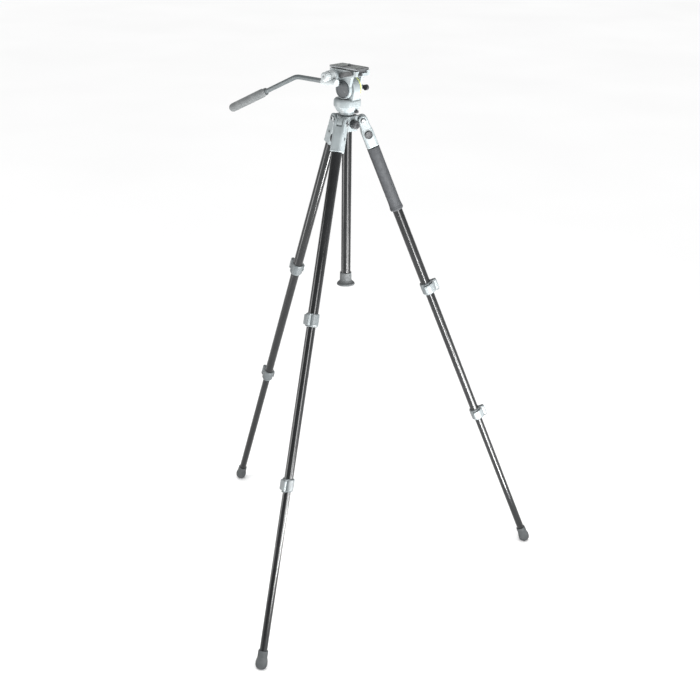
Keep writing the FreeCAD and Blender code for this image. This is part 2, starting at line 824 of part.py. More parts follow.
def tilt_lock_lever():
    """Lever on the tilt axis at the head's left, cranked out past the drum, its paddle forwards."""
    axle = cylinder("tilt_lever_hub - 2.5", "2", spot(z=value("gap")))
    hub = cylinder("tilt_lever_hub", "tilt_lever_hub_length - 1", spot(z=1.0))
    arm_low = value("tilt_lever_hub_length - 0.6")
    arm = block("tilt_lever_reach", "9", "tilt_lever_thickness", "0", "-4.5", arm_low)
    paddle = cylinder("tilt_lever_paddle", "tilt_lever_thickness + 1",
                      spot(x=value("tilt_lever_reach"), z=arm_low - 0.4))
    cover = cylinder("tilt_lever_hub", "tilt_lever_thickness + 1", spot(z=arm_low - 0.4))
    place = far_side_place(value("tilt_forward"), value("cheek_outer"), value("tilt_height"))
    keep(fused(axle, hub, arm, paddle, cover), "tilt_lock_lever", place)


def plate_lock_lever():
    """Flat lever on the platform's right-hand side that clamps the quick plate."""
    arm = block("plate_lever_length", "plate_lever_width", "plate_lever_thickness",
                "0", "-plate_lever_width / 2", "0.6")
    eye = cylinder("plate_lever_width / 2 + 1", "plate_lever_thickness", spot(z=0.6))
    tip = cylinder("plate_lever_width / 2", "plate_lever_thickness + 1",
                   spot(x=value("plate_lever_length"), z=0.6))
    pin = cylinder("plate_lever_pin", "6", spot(z=-5.4))
    place = side_place(value("plate_lever_pivot"), -value("deck_half_width"), value("deck_bottom") - 1)
    place = place.multiply(spot(turn=PLATE_LEVER_RISE))
    keep(fused(arm, eye, tip, pin), "plate_lock_lever", place)


def safety_button():
    """Sprung button in the platform's front face that lets the plate off."""
    body = block("button_length", "button_width", "button_height",
                 "deck_front - button_length + 2.3", "-button_side", "deck_bottom + 1 + gap")
    keep(body, "safety_button", head_place())


def is_slab_corner(edge):
    """True for the four upright corner edges of the plate's slab."""
    size = edge.BoundBox
    return 3 < size.ZLength < 5 and size.YLength < 0.1 and size.XLength < 0.1


def quick_plate():
    """Sliding plate with a dovetail keel, bored and counterbored for the camera screw."""
    body = new_body("slab")
    slab = new_sketch(body, "YZ", "tilt_forward")
    add_outline(slab, [
        ("-plate_half_width", "plate_bottom + 1"),
        ("1 - plate_half_width", "plate_bottom"),
        ("plate_half_width - 1", "plate_bottom"),
        ("plate_half_width", "plate_bottom + 1"),
        ("plate_half_width", "plate_top"),
        ("-plate_half_width", "plate_top"),
    ])
    feature(body, "Pad", slab, "plate_length")
    keel = new_sketch(body, "YZ", "tilt_forward")
    add_outline(keel, [
        ("keel_play - slot_floor_half", "deck_top + gap"),
        ("slot_floor_half - keel_play", "deck_top + gap"),
        ("slot_mouth_half - keel_play", "rail_top"),
        ("slot_mouth_half - keel_play", "plate_bottom + 1"),
        ("keel_play - slot_mouth_half", "plate_bottom + 1"),
        ("keel_play - slot_mouth_half", "rail_top"),
    ])
    feature(body, "Pad", keel, "plate_length - 6")
    soften(body, 3.0, is_slab_corner)
    under = spot(value("tilt_forward"), 0, value("deck_top") - 10)
    hole = cylinder("screw_neck_radius + gap", "plate_top - deck_top + 20", under)
    pocket = cylinder("screw_head_radius + 0.5", "screw_head_top - deck_top + 10 + gap", under)
    keep(cut(body, hole, pocket), "quick_plate", head_place())


def plate_pad():
    """Rubber pad glued on the plate, open round the camera screw."""
    pad = block("plate_length - 8", "2 * plate_half_width - 6", "pad_top - plate_top",
                "tilt_forward - plate_length / 2 + 4", "3 - plate_half_width", "plate_top")
    hole = cylinder("6", "6", spot(value("tilt_forward"), 0, value("plate_top") - 2))
    keep(cut(pad, hole), "plate_pad", head_place())


def camera_screw():
    """Captive screw that fastens the camera, with its wide head under the plate."""
    body = turned("screw", [
        ("0", "screw_head_bottom"),
        ("screw_head_radius", "screw_head_bottom"),
        ("screw_head_radius", "screw_head_top"),
        ("screw_neck_radius", "screw_head_top"),
        ("screw_neck_radius", "pad_top"),
        ("screw_radius", "pad_top"),
        ("screw_radius", "screw_top - 0.8"),
        ("screw_radius - 0.8", "screw_top"),
        ("0", "screw_top"),
    ])
    keep(body, "camera_screw", head_place().multiply(spot(x=value("tilt_forward"))))


def handle_clamp():
    """Eye against the rosette with the socket that holds the handle's arm."""
    eye = cross_rod("rosette_radius", "-clamp_face", "clamp_face - rosette_face - gap",
                    "rosette_back", "rosette_height")
    socket = cylinder("arm_radius + 2.5", "48")
    start = arm_frame().multiply(spot(z=-10))
    socket.Placement = start
    bore = cylinder("arm_radius", "60")
    bore.Placement = arm_frame()
    bolt = cross_rod("clamp_bolt_radius + running", "-70", "60", "rosette_back", "rosette_height")
    knob_room = cross_rod("12", "-70", "70 - clamp_face", "rosette_back", "rosette_height")
    keep(cut(fused(eye, socket), bolt, bore, knob_room), "handle_clamp", head_place())


def arm_frame():
    """Frame at the arm's buried end: +Z runs back along the arm."""
    start = spot(value("arm_start"), -value("arm_side"), value("arm_start_height"))
    return start.multiply(spot(axis=(0, 1, 0), turn=-90 - value("arm_first_drop")))


def bent_rod(radius):
    """Straight run, bend and straight run of the handle's arm, as one solid."""
    bend = value("arm_second_drop - arm_first_drop")
    first = cylinder(radius, "arm_first_length")
    first.Placement = arm_frame()
    ring = doc.addObject("Part::Torus", "bend")
    bind(ring, Radius1="arm_bend_radius", Radius2=radius)
    ring.Angle3 = bend
    corner = arm_frame().multiply(spot(z=value("arm_first_length")))
    centre = corner.multiply(spot(x=-value("arm_bend_radius")))
    ring.Placement = centre.multiply(spot(axis=(1, 0, 0), turn=90))
    turned_end = centre.multiply(spot(axis=(0, 1, 0), turn=-bend))
    second = cylinder(radius, "arm_second_length")
    second.Placement = turned_end.multiply(spot(x=value("arm_bend_radius")))
    return fused(first, ring, second), second.Placement


def handle_pieces():
    outer, run = bent_rod("arm_radius")
    inner, _ = bent_rod("arm_radius - arm_wall")
    keep(cut(outer, inner), "handle_arm", head_place())
    grip = turned("grip", [
        ("arm_radius", "0"),
        ("grip_radius - 3", "0"),
        ("grip_radius - 2", "1"),
        ("grip_radius - 2", "10"),
        ("grip_radius", "16"),
        ("grip_radius", "grip_length - 7"),
        ("grip_radius - 2", "grip_length - 2"),
        ("grip_radius - 5", "grip_length"),
        ("0", "grip_length"),
        ("0", "grip_length - 10"),
        ("arm_radius", "grip_length - 10"),
    ])
    back = value("arm_second_length - grip_length + 10")
    keep(grip, "handle_grip", head_place().multiply(run).multiply(spot(z=back)))


def head_pieces():
    pan_base()
    head_body()
    accent_ring()
    tilt_cartridge()
    tilt_shaft()
    tilt_platform()
    side_cap()
    tilt_lock_lever()
    plate_lock_lever()
    safety_button()
    quick_plate()
    plate_pad()
    camera_screw()
    handle_clamp()
    handle_pieces()
    knob("column_lock_knob", "11", "11", "3", "12",
         outward_place(COLUMN_KNOB_TURN, 30.0, value("hinge_height") - 6))
    knob("pan_lock_knob", "4.2", "8", "1.6", "10",
         outward_place(PAN_KNOB_TURN, 30.0, value("top_plate_top") + 2.5))
    knob("handle_clamp_knob", "11.5", "16", "clamp_bolt_radius", "24",
         side_place(value("rosette_back"), -value("clamp_face") - 0.4, value("rosette_height")))


# ---- checks and files ---------------------------------------------------------------------------

def check():
    """Stop if any object failed or any piece isn't one or more whole solids."""
    doc.recompute()
    for thing in doc.Objects:
        if "Invalid" in thing.State or "Error" in thing.State:
            raise RuntimeError("%s failed: %s" % (thing.Name, thing.State))
    for piece in pieces:
        if piece.Shape.isNull() or not piece.Shape.isValid():
            raise RuntimeError("%s has no valid shape" % piece.Label)
        print("%-28s %d solid  %9.0f mm3" % (piece.Label, len(piece.Shape.Solids), piece.Shape.Volume))


def main():
    fill_sheet()
    spider_hub()
    column_bush()
    hinge_bolts()
    column_pieces()
    for leg, turn in LEGS.items():
        leg_pieces(leg, turn)
    head_pieces()
    check()
    os.makedirs("parts", exist_ok=True)
    for piece in pieces:
        piece.Shape.exportStep("parts/%s.step" % piece.Label)
    print(len(pieces), "pieces written")


main()
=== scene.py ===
# %% [markdown]
# # A video tripod with a fluid head
# The imported model is the skeleton: it holds every tube, hinge and lock at its real size,
# and Blender only dresses it. So the first thing to do is to load it.

# %% Load the skeleton
import json
import math

import bmesh
import bpy
import numpy as np
from mathutils import Matrix


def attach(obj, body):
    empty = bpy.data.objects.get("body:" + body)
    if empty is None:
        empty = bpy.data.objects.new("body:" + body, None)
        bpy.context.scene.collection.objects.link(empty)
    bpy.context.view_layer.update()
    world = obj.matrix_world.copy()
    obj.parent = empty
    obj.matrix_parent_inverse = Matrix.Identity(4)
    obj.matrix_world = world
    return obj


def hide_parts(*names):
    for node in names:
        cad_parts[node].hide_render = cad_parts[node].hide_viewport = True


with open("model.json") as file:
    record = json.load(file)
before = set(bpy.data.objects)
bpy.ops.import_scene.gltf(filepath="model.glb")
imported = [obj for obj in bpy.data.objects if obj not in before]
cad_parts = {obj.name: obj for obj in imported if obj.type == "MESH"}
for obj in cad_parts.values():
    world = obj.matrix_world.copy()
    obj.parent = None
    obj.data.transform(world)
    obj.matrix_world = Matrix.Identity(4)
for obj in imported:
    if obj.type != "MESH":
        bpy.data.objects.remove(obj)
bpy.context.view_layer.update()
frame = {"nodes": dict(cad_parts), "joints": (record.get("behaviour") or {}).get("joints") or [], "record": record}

MM = 0.001

# %% [markdown]
# ## Working places
# A leg is easiest to shape with its hinge at zero and its tube running down -Z. A place is
# an origin and three axes, read from the joints, so a piece shaped in the leg's own
# coordinates lands on the real leg. The head has a place too: +X looks forwards over the
# plate, +Y is the head's left, and heights stay heights above the floor.

# %% Places read from the joints
JOINTS = {joint["name"]: joint for joint in frame["joints"]}
LEGS = ("front", "right", "left")
UP = np.array([0.0, 0.0, 1.0])


def unit(vector):
    """The vector divided by its length."""
    vector = np.asarray(vector, float)
    return vector / np.linalg.norm(vector)


def place(origin, x, y, z):
    """Origin in metres and a matrix whose columns are the three axes."""
    return np.asarray(origin, float), np.column_stack([x, y, z])


def leg_place(leg):
    """Hinge at zero, X away from the column, Y round it, Z up the tube."""
    hinge = JOINTS[leg + "_leg_hinge"]
    up_leg = -unit(JOINTS[leg + "_middle_slide"]["axis"])
    y = -unit(hinge["axis"])
    return place(hinge["pos_m"], np.cross(y, up_leg), y, up_leg)


def head_place():
    """X forwards, Y to the head's left, Z up from the floor under the column."""
    y = unit(JOINTS["tilt"]["axis"])
    return place((0, 0, 0), np.cross(y, UP), y, UP)


def along_place(joint_name, towards=1.0):
    """Z along a joint's axis, with the joint's own point as origin."""
    joint = JOINTS[joint_name]
    z = unit(joint["axis"]) * towards
    x = unit(np.cross(UP, z)) if abs(z[2]) < 0.9 else np.array([1.0, 0.0, 0.0])
    return place(joint["pos_m"], x, np.cross(z, x), z)


def moved(spot, x=0.0, y=0.0, z=0.0):
    """The same axes with the origin moved by millimetres along them."""
    origin, axes = spot
    return origin + axes @ (np.array([x, y, z]) * MM), axes


def turned_about(spot, axis, degrees):
    """The place with its axes turned about one of them (0, 1 or 2)."""
    origin, axes = spot
    turn = np.array(Matrix.Rotation(math.radians(degrees), 3, "XYZ"[axis]))
    return origin, axes @ turn


LEG_PLACES = {leg: leg_place(leg) for leg in LEGS}
HEAD = head_place()
WORLD = place((0, 0, 0), (1, 0, 0), (0, 1, 0), (0, 0, 1))
print("legs at", {leg: np.round(LEG_PLACES[leg][0], 3).tolist() for leg in LEGS})

# %% [markdown]
# ## Measuring the skeleton
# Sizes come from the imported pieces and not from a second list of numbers. A piece's corners
# in a place's coordinates give its reach along each axis, and its distance from the Z axis
# gives its radius.

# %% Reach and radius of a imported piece, in millimetres


def local_points(node, spot):
    """The piece's vertices in the place's own coordinates, in millimetres."""
    mesh = frame["nodes"][node].data
    points = np.empty(len(mesh.vertices) * 3)
    mesh.vertices.foreach_get("co", points)
    origin, axes = spot
    return (points.reshape(-1, 3) - origin) @ axes / MM


def reach(node, spot):
    """Lowest and highest corner of the piece in the place's coordinates."""
    points = local_points(node, spot)
    return points.min(axis=0), points.max(axis=0)


def radius_of(node, spot):
    """Greatest distance of the piece from the place's Z axis."""
    points = local_points(node, spot)
    return float(np.hypot(points[:, 0], points[:, 1]).max())


TUBE_RADIUS = {part: radius_of("front_%s_tube" % part, LEG_PLACES["front"])
               for part in ("upper", "middle", "lower")}
print("tube radii", {part: round(size, 2) for part, size in TUBE_RADIUS.items()})

# %% [markdown]
# ## Surfaces from grids
# Every new piece is a grid of points: rows run along it, and each row goes once round it.
# Quads join the rows, and a flat cap or a single pole closes each end. Several closed grids
# can make one piece, as a knob and its shank do.

# %% Grid to mesh


def grid_part(points, close_start="cap", close_end="cap"):
    """Rows of points round a closed shape, joined by quads.

    points has the shape (rows, around, 3). Each end is closed by one flat cap, by a pole (the
    mean of the last row), or is left open.
    """
    points = np.asarray(points, float)
    rows, around = points.shape[:2]
    index = np.arange(rows * around).reshape(rows, around)
    low, high = index[:-1], index[1:]
    quads = np.stack([low, np.roll(low, -1, 1), np.roll(high, -1, 1), high], axis=-1)
    vertices = points.reshape(-1, 3)
    faces = quads.reshape(-1, 4).tolist()
    for closing, row, flip in ((close_start, 0, True), (close_end, rows - 1, False)):
        ring = index[row]
        if closing == "cap":
            faces.append((ring[::-1] if flip else ring).tolist())
        elif closing == "pole":
            pole = len(vertices)
            vertices = np.vstack([vertices, points[row].mean(axis=0)])
            after = np.roll(ring, -1)
            pairs = np.stack([after, ring] if flip else [ring, after], axis=-1)
            faces.extend(np.column_stack([pairs, np.full(around, pole)]).tolist())
    return vertices, faces


def loop_part(points):
    """A grid that closes on itself both ways, like a ring with a shaped section."""
    points = np.asarray(points, float)
    rows, around = points.shape[:2]
    index = np.arange(rows * around).reshape(rows, around)
    high = np.roll(index, -1, 0)
    quads = np.stack([index, np.roll(index, -1, 1), np.roll(high, -1, 1), high], axis=-1)
    return points.reshape(-1, 3), quads.reshape(-1, 4).tolist()


def outward(part):
    """Turn a closed part's faces round if its volume comes out negative."""
    vertices, faces = part
    volume = 0.0
    by_size = {}
    for face in faces:
        by_size.setdefault(len(face), []).append(face)
    for group in by_size.values():
        ids = np.array(group)
        first = vertices[ids[:, 0]]
        for i in range(1, ids.shape[1] - 1):
            volume += np.einsum("ij,ij->", first, np.cross(vertices[ids[:, i]], vertices[ids[:, i + 1]]))
    return (vertices, [face[::-1] for face in faces]) if volume < 0 else part


def put(part, spot):
    """Carry a part from a place's coordinates in millimetres to the row's in metres."""
    vertices, faces = part
    origin, axes = spot
    return vertices * MM @ axes.T + origin, faces


# %% [markdown]
# ## Making a piece
# A piece is one mesh, shaded smooth with its sharp edges kept. It rides on the body that
# carries it in every pose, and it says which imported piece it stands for.

# %% Mesh to piece
MADE = []
SHARP = 38.0


def linked(name, data):
    """New object with this data, put in the scene."""
    thing = bpy.data.objects.new(name, data)
    bpy.context.scene.collection.objects.link(thing)
    return thing


def make(name, parts, body, finish, stands_for, sharp=SHARP):
    """Join the parts in one mesh, shade it smooth with sharp edges kept, and hang it on a body."""
    vertices, faces, count = [], [], 0
    for part in parts:
        points, part_faces = outward(part)
        vertices.append(points)
        faces.extend([[i + count for i in face] for face in part_faces])
        count += len(points)
    mesh = bpy.data.meshes.new(name)
    mesh.from_pydata(np.vstack(vertices).tolist(), [], faces)
    mesh.polygons.foreach_set("use_smooth", [True] * len(mesh.polygons))
    mesh.set_sharp_from_angle(angle=math.radians(sharp))
    mesh.materials.append(finish)
    piece = linked(name, mesh)
    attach(piece, body)
    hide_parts(*stands_for)
    MADE.append((name, len(faces)))


# %% [markdown]
# ## Corners that catch the light
# Nothing moulded or cast has a knife edge. An outline is given by its corners, and each
# corner is rounded by an arc.

# %% Rounded outlines


def swept(centre, spoke, angles):
    """Points reached from a centre when its spoke is turned by each angle."""
    cosine, sine = np.cos(angles), np.sin(angles)
    return centre + np.column_stack([spoke[0] * cosine - spoke[1] * sine,
                                     spoke[0] * sine + spoke[1] * cosine])


def rounded(corners, radius, inset=0.0, steps=6, hold=0.25):
    """Closed outline with every corner replaced by an arc.

    Each side moves inwards by inset, and two moved sides meet at the new corner. An outer
    corner's arc loses the inset from its radius and an inner corner's gains it. hold adds a
    point just past each end of an arc, so that flat sides keep flat shading.
    """
    corners = np.asarray(corners, float)
    radii = np.broadcast_to(np.asarray(radius, float), (len(corners),))
    sides = np.roll(corners, -1, 0) - corners
    sides = sides / np.linalg.norm(sides, axis=1, keepdims=True)
    x, y = corners[:, 0], corners[:, 1]
    area = np.sum(x * np.roll(y, -1) - np.roll(x, -1) * y)
    inward = np.column_stack([-sides[:, 1], sides[:, 0]]) * (1.0 if area > 0 else -1.0)
    before, after = np.roll(inward, 1, 0), inward
    blend = (before + after) / (1.0 + np.sum(before * after, axis=1, keepdims=True))
    points = corners + blend * inset
    outline = []
    for i, corner in enumerate(points):
        into, out = sides[i - 1], sides[i]
        turn = math.atan2(into[0] * out[1] - into[1] * out[0], float(into @ out))
        convex = turn * area > 0
        arc = max(radii[i] - inset if convex else radii[i] + inset, 0.02)
        reach_out = arc * math.tan(abs(turn) / 2)
        start, end = corner - into * reach_out, corner + out * reach_out
        side_normal = inward[i - 1] if convex else -inward[i - 1]
        centre = start + side_normal * arc
        sweep = swept(centre, start - centre, np.linspace(0, turn, steps))
        outline.append(np.vstack([start - into * hold, sweep, end + out * hold]))
    return np.vstack(outline)


# %% [markdown]
# ## Rounded slabs
# Insetting the outline and shrinking its arcs by the same amount gives the next row of a
# rounded slab, so an ear, a lug or a rib all come from one function.

# %% Slabs


def slab(corners, radius, low, high, edge=0.8, steps=4, corner_steps=6):
    """Plate between two heights whose rim is rounded top and bottom by quarter circles."""
    angles = np.linspace(0, math.pi / 2, steps + 1)
    insets = edge * (1 - np.sin(angles))
    rises = edge * (1 - np.cos(angles))
    rows = [(edge + 0.4, low)]
    rows += [(inset, low + rise) for inset, rise in zip(insets, rises)]
    rows += [(inset, high - rise) for inset, rise in zip(insets[::-1], rises[::-1])]
    rows.append((edge + 0.4, high))
    grid = []
    for inset, height in rows:
        outline = rounded(corners, radius, inset, corner_steps)
        grid.append(np.column_stack([outline, np.full(len(outline), height)]))
    return grid_part(grid)


# %% [markdown]
# ## Turned shapes
# Knobs, feet, collars and grips are turned: a profile is softened at its corners, as a tool
# with a round nose leaves it, and then swept round Z.

# %% Profiles and turning


def soft_profile(corners, radius=0.8, steps=4, hold=0.2):
    """Open profile of (radius, height) corners with its inner corners rounded by arcs."""
    corners = np.asarray(corners, float)
    radii = np.broadcast_to(np.asarray(radius, float), (len(corners),))
    line = [corners[0][None]]
    for before, corner, after, wanted in zip(corners[:-2], corners[1:-1], corners[2:], radii[1:-1]):
        into, out = unit(corner - before), unit(after - corner)
        turn = math.atan2(into[0] * out[1] - into[1] * out[0], float(into @ out))
        room = 0.45 * min(np.linalg.norm(corner - before), np.linalg.norm(after - corner))
        reach_out = min(wanted * math.tan(abs(turn) / 2), room)
        if abs(turn) < 0.02 or reach_out < 0.01:
            line.append(corner[None])
            continue
        arc = reach_out / math.tan(abs(turn) / 2)
        start = corner - into * reach_out
        normal = np.array([-into[1], into[0]]) * math.copysign(1, turn)
        centre = start + normal * arc
        sweep = swept(centre, start - centre, np.linspace(0, turn, steps + 1))
        pad = min(hold, room * 0.2)
        line.append(np.vstack([start - into * pad, sweep, corner + out * (reach_out + pad)]))
    line.append(corners[-1][None])
    return np.vstack(line)


def lathe(profile, around=64, shape=None):
    """Profile of (radius, height) turned about Z.

    shape(angle, radius, height) may change the radius round the turn, as on a fluted knob.
    Where the profile starts or ends on the axis, that end is one pole; else it is a cap.
    """
    profile = np.asarray(profile, float)
    ends = ["pole" if profile[i][0] < 1e-6 else "cap" for i in (0, -1)]
    if ends[0] == "pole":
        profile = profile[1:]
    if ends[1] == "pole":
        profile = profile[:-1]
    angle = np.linspace(0, 2 * math.pi, around, endpoint=False)[None, :]
    radius = np.repeat(profile[:, :1], around, axis=1)
    height = np.repeat(profile[:, 1:], around, axis=1)
    if shape is not None:
        radius = shape(angle, radius, height)
    grid = np.stack([radius * np.cos(angle), radius * np.sin(angle), height], axis=-1)
    return grid_part(grid, *ends)


def lathe_loop(profile):
    """Ring turned from an open profile, closed along its bore."""
    angle = np.linspace(0, 2 * math.pi, 72, endpoint=False)[None, :]
    radius, height = profile[:, :1], profile[:, 1:]
    grid = np.stack([radius * np.cos(angle), radius * np.sin(angle), np.repeat(height, 72, 1)], axis=-1)
    return loop_part(grid)


# %% [markdown]
# ## Finishes
# Six families cover the whole tripod: paint on castings, gloss on drawn tube, moulded
# plastic, rubber, foam and bare metal. Each is a Principled shader whose colour wanders a
# little, whose roughness is broken up by a second noise, and whose surface is moved by fine
# bump at the scale of the real texture. All of them read Object coordinates, in metres, so a
# noise scale of 1000 has features of about a millimetre.

# %% Node helpers
NOISE_LOW, NOISE_HIGH = 0.3, 0.7


def node_tree(name):
    """New material with its Principled shader, links and an Object coordinate output."""
    material = bpy.data.materials.new(name)
    material.use_nodes = True
    nodes, links = material.node_tree.nodes, material.node_tree.links
    shader = nodes["Principled BSDF"]
    where = nodes.new("ShaderNodeTexCoord").outputs["Object"]
    return material, nodes, links, shader, where


def noise(nodes, links, where, scale, detail=4.0, roughness=0.55):
    """Noise texture's value output."""
    texture = nodes.new("ShaderNodeTexNoise")
    texture.inputs["Scale"].default_value = scale
    texture.inputs["Detail"].default_value = detail
    texture.inputs["Roughness"].default_value = roughness
    links.new(where, texture.inputs["Vector"])
    return texture.outputs["Fac"]


def spread(nodes, links, value, low, high, start=NOISE_LOW, end=NOISE_HIGH):
    """Map a value between start and end to a number between low and high."""
    remap = nodes.new("ShaderNodeMapRange")
    remap.inputs["From Min"].default_value = start
    remap.inputs["From Max"].default_value = end
    remap.inputs["To Min"].default_value = low
    remap.inputs["To Max"].default_value = high
    links.new(value, remap.inputs["Value"])
    return remap.outputs["Result"]


def tint(nodes, links, value, dark, light):
    """Colour ramp between two colours over a noise's usual range."""
    ramp = nodes.new("ShaderNodeValToRGB")
    for element, position, colour in zip(ramp.color_ramp.elements, (NOISE_LOW, NOISE_HIGH), (dark, light)):
        element.position = position
        element.color = (*colour, 1)
    links.new(value, ramp.inputs["Fac"])
    return ramp.outputs["Color"]


def bump(nodes, links, height, depth_mm, normal=None):
    """Bump node; depth in millimetres for the full swing of the height."""
    node = nodes.new("ShaderNodeBump")
    node.inputs["Strength"].default_value = 1.0
    node.inputs["Distance"].default_value = depth_mm * MM
    links.new(height, node.inputs["Height"])
    if normal is not None:
        links.new(normal, node.inputs["Normal"])
    return node.outputs["Normal"]


def worn(nodes, links, colour, bare, amount):
    """Mix a bare colour in where the surface is convex: on edges that hands rub."""
    geometry = nodes.new("ShaderNodeNewGeometry")
    edge = spread(nodes, links, geometry.outputs["Pointiness"], 0.0, amount, 0.53, 0.62)
    mix = nodes.new("ShaderNodeMix")
    mix.data_type = "RGBA"
    links.new(edge, mix.inputs["Factor"])
    links.new(colour, mix.inputs["A"])
    mix.inputs["B"].default_value = (*bare, 1)
    return mix.outputs["Result"]


# %% [markdown]
# ## One maker for every plain finish
# A real surface is never one colour: it drifts over centimetres, its gloss changes where it
# has been touched, and its texture shows at a fraction of a millimetre. Bare material shows
# on the edges that hands rub.

# %% The finish maker


def surface(name, dark, light, rough, patch, grain, grain_depth, metallic=0.0, specular=0.5,
            wear=None, wear_amount=0.0, second=None):
    """Painted, moulded or metal surface.

    dark and light bound the slow colour drift, rough is (lowest, highest), patch is the drift's
    noise scale, grain and grain_depth the fine texture's scale and depth in millimetres.
    second is (scale, depth) of a coarser bump under the fine one.
    """
    material, nodes, links, shader, where = node_tree(name)
    drift = noise(nodes, links, where, patch, 5.0)
    colour = tint(nodes, links, drift, dark, light)
    if wear is not None:
        colour = worn(nodes, links, colour, wear, wear_amount)
    links.new(colour, shader.inputs["Base Color"])
    smear = noise(nodes, links, where, patch * 3.1, 6.0, 0.62)
    links.new(spread(nodes, links, smear, *rough), shader.inputs["Roughness"])
    normal = None
    if second is not None:
        normal = bump(nodes, links, noise(nodes, links, where, second[0], 3.0), second[1])
    normal = bump(nodes, links, noise(nodes, links, where, grain, 3.0, 0.5), grain_depth, normal)
    links.new(normal, shader.inputs["Normal"])
    shader.inputs["Metallic"].default_value = metallic
    shader.inputs["Specular IOR Level"].default_value = specular
    return material


# %% [markdown]
# ## The tripod's finishes
# The castings are pale grey paint, the collars darker, the levers between. Knobs and small
# controls are moulded black, feet and pads are rubber, and the sleeve is foam.

# %% Finishes by material
PAINT = surface("cast_grey_paint", (0.205, 0.232, 0.24), (0.255, 0.285, 0.293), (0.3, 0.42), 40, 2600, 0.012,
                wear=(0.42, 0.43, 0.43), wear_amount=0.55, second=(420, 0.02))
COLLAR = surface("collar_grey", (0.07, 0.08, 0.084), (0.095, 0.107, 0.111), (0.36, 0.5), 50, 2400, 0.012,
                 wear=(0.36, 0.37, 0.37), wear_amount=0.45)
LEVER = surface("lever_grey", (0.125, 0.14, 0.145), (0.165, 0.182, 0.187), (0.36, 0.48), 60, 2200, 0.01,
                wear=(0.5, 0.5, 0.5), wear_amount=0.3)
KNOB_GREY = surface("knob_grey", (0.29, 0.315, 0.32), (0.35, 0.375, 0.38), (0.34, 0.46), 70, 2000, 0.012,
                    wear=(0.6, 0.6, 0.6), wear_amount=0.3)
ARM = surface("arm_grey", (0.055, 0.068, 0.072), (0.08, 0.096, 0.1), (0.34, 0.46), 70, 2000, 0.01,
              wear=(0.3, 0.3, 0.3), wear_amount=0.2)
BLACK = surface("moulded_black", (0.018, 0.019, 0.021), (0.03, 0.032, 0.034), (0.38, 0.55), 70, 1900, 0.03,
                wear=(0.09, 0.09, 0.095), wear_amount=0.5)
COVER = surface("cover_dark", (0.024, 0.029, 0.033), (0.036, 0.043, 0.048), (0.42, 0.55), 60, 2200, 0.01,
                wear=(0.3, 0.3, 0.3), wear_amount=0.5)
RUBBER = surface("rubber_grey", (0.055, 0.06, 0.062), (0.085, 0.09, 0.092), (0.62, 0.82), 45, 1500, 0.05,
                 specular=0.3)
GRIP = surface("grip_rubber", (0.11, 0.118, 0.12), (0.15, 0.158, 0.16), (0.55, 0.72), 50, 1500, 0.05,
               specular=0.35)
PAD = surface("pad_grey", (0.30, 0.315, 0.31), (0.38, 0.395, 0.39), (0.6, 0.8), 60, 1500, 0.05, specular=0.3)
FOAM = surface("sleeve_foam", (0.028, 0.03, 0.033), (0.045, 0.048, 0.052), (0.6, 0.8), 80, 1100, 0.09,
               specular=0.35)
STEEL = surface("bright_steel", (0.2, 0.21, 0.215), (0.28, 0.29, 0.295), (0.3, 0.44), 120, 3000, 0.005,
                metallic=1.0)
YELLOW = surface("accent_yellow", (0.50, 0.54, 0.16), (0.60, 0.64, 0.21), (0.35, 0.5), 80, 2000, 0.01)
PLATE = surface("plate_anodised", (0.10, 0.107, 0.11), (0.135, 0.14, 0.145), (0.3, 0.42), 90, 3200, 0.008,
                metallic=0.6, wear=(0.5, 0.5, 0.5), wear_amount=0.5)
print("finishes", len(bpy.data.materials))

# %% [markdown]
# ## Drawn tube
# An anodised tube is glossy but not a mirror: the die leaves fine lines that run along it.
# A Mapping node turns the coordinates so that its Z runs down the leg, and stretching the
# noise along Z turns specks into lines.

# %% Tube finish
LINE_STRETCH = 0.012
LINE_SCALE = 1400


def tube_finish(name, spot):
    """Gloss black with lines along the tube: noise squeezed across Z and stretched along it."""
    material, nodes, links, shader, where = node_tree(name)
    turn = nodes.new("ShaderNodeMapping")
    turn.inputs["Rotation"].default_value = Matrix(spot[1].T.tolist()).to_euler()
    links.new(where, turn.inputs["Vector"])
    stretch = nodes.new("ShaderNodeMapping")
    stretch.inputs["Scale"].default_value = (1.0, 1.0, LINE_STRETCH)
    links.new(turn.outputs["Vector"], stretch.inputs["Vector"])
    lines = noise(nodes, links, stretch.outputs["Vector"], LINE_SCALE, 3.0)
    cloud = noise(nodes, links, where, 14, 5.0)
    links.new(tint(nodes, links, cloud, (0.006, 0.0065, 0.007), (0.012, 0.0125, 0.013)),
              shader.inputs["Base Color"])
    links.new(spread(nodes, links, lines, 0.13, 0.2), shader.inputs["Roughness"])
    links.new(bump(nodes, links, lines, 0.004), shader.inputs["Normal"])
    shader.inputs["Specular IOR Level"].default_value = 0.4
    return material


TUBE = {leg: tube_finish(leg + "_tube_gloss", LEG_PLACES[leg]) for leg in LEGS}
TUBE["column"] = tube_finish("column_gloss", WORLD)

# %% [markdown]
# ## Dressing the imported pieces
# Plain round pieces, such as the tubes, are already right, so they keep their shape and only
# take a finish. The rest get one for now, and the shaped pieces below stand in for them.

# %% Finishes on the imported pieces
BY_SLOT = {
    "rubber": RUBBER,
    "grey_casting": PAINT,
    "grey_collar": COLLAR,
    "grey_lever": LEVER,
    "steel": STEEL,
    "yellow_accent": YELLOW,
    "plate_alloy": PLATE,
    "black_plastic": BLACK,
}
SLOTS = {part["node"]: part["material_slot"] for part in frame["record"]["subparts"]}


def dress(node, finish):
    """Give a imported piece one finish."""
    mesh = frame["nodes"][node].data
    mesh.materials.clear()
    mesh.materials.append(finish)


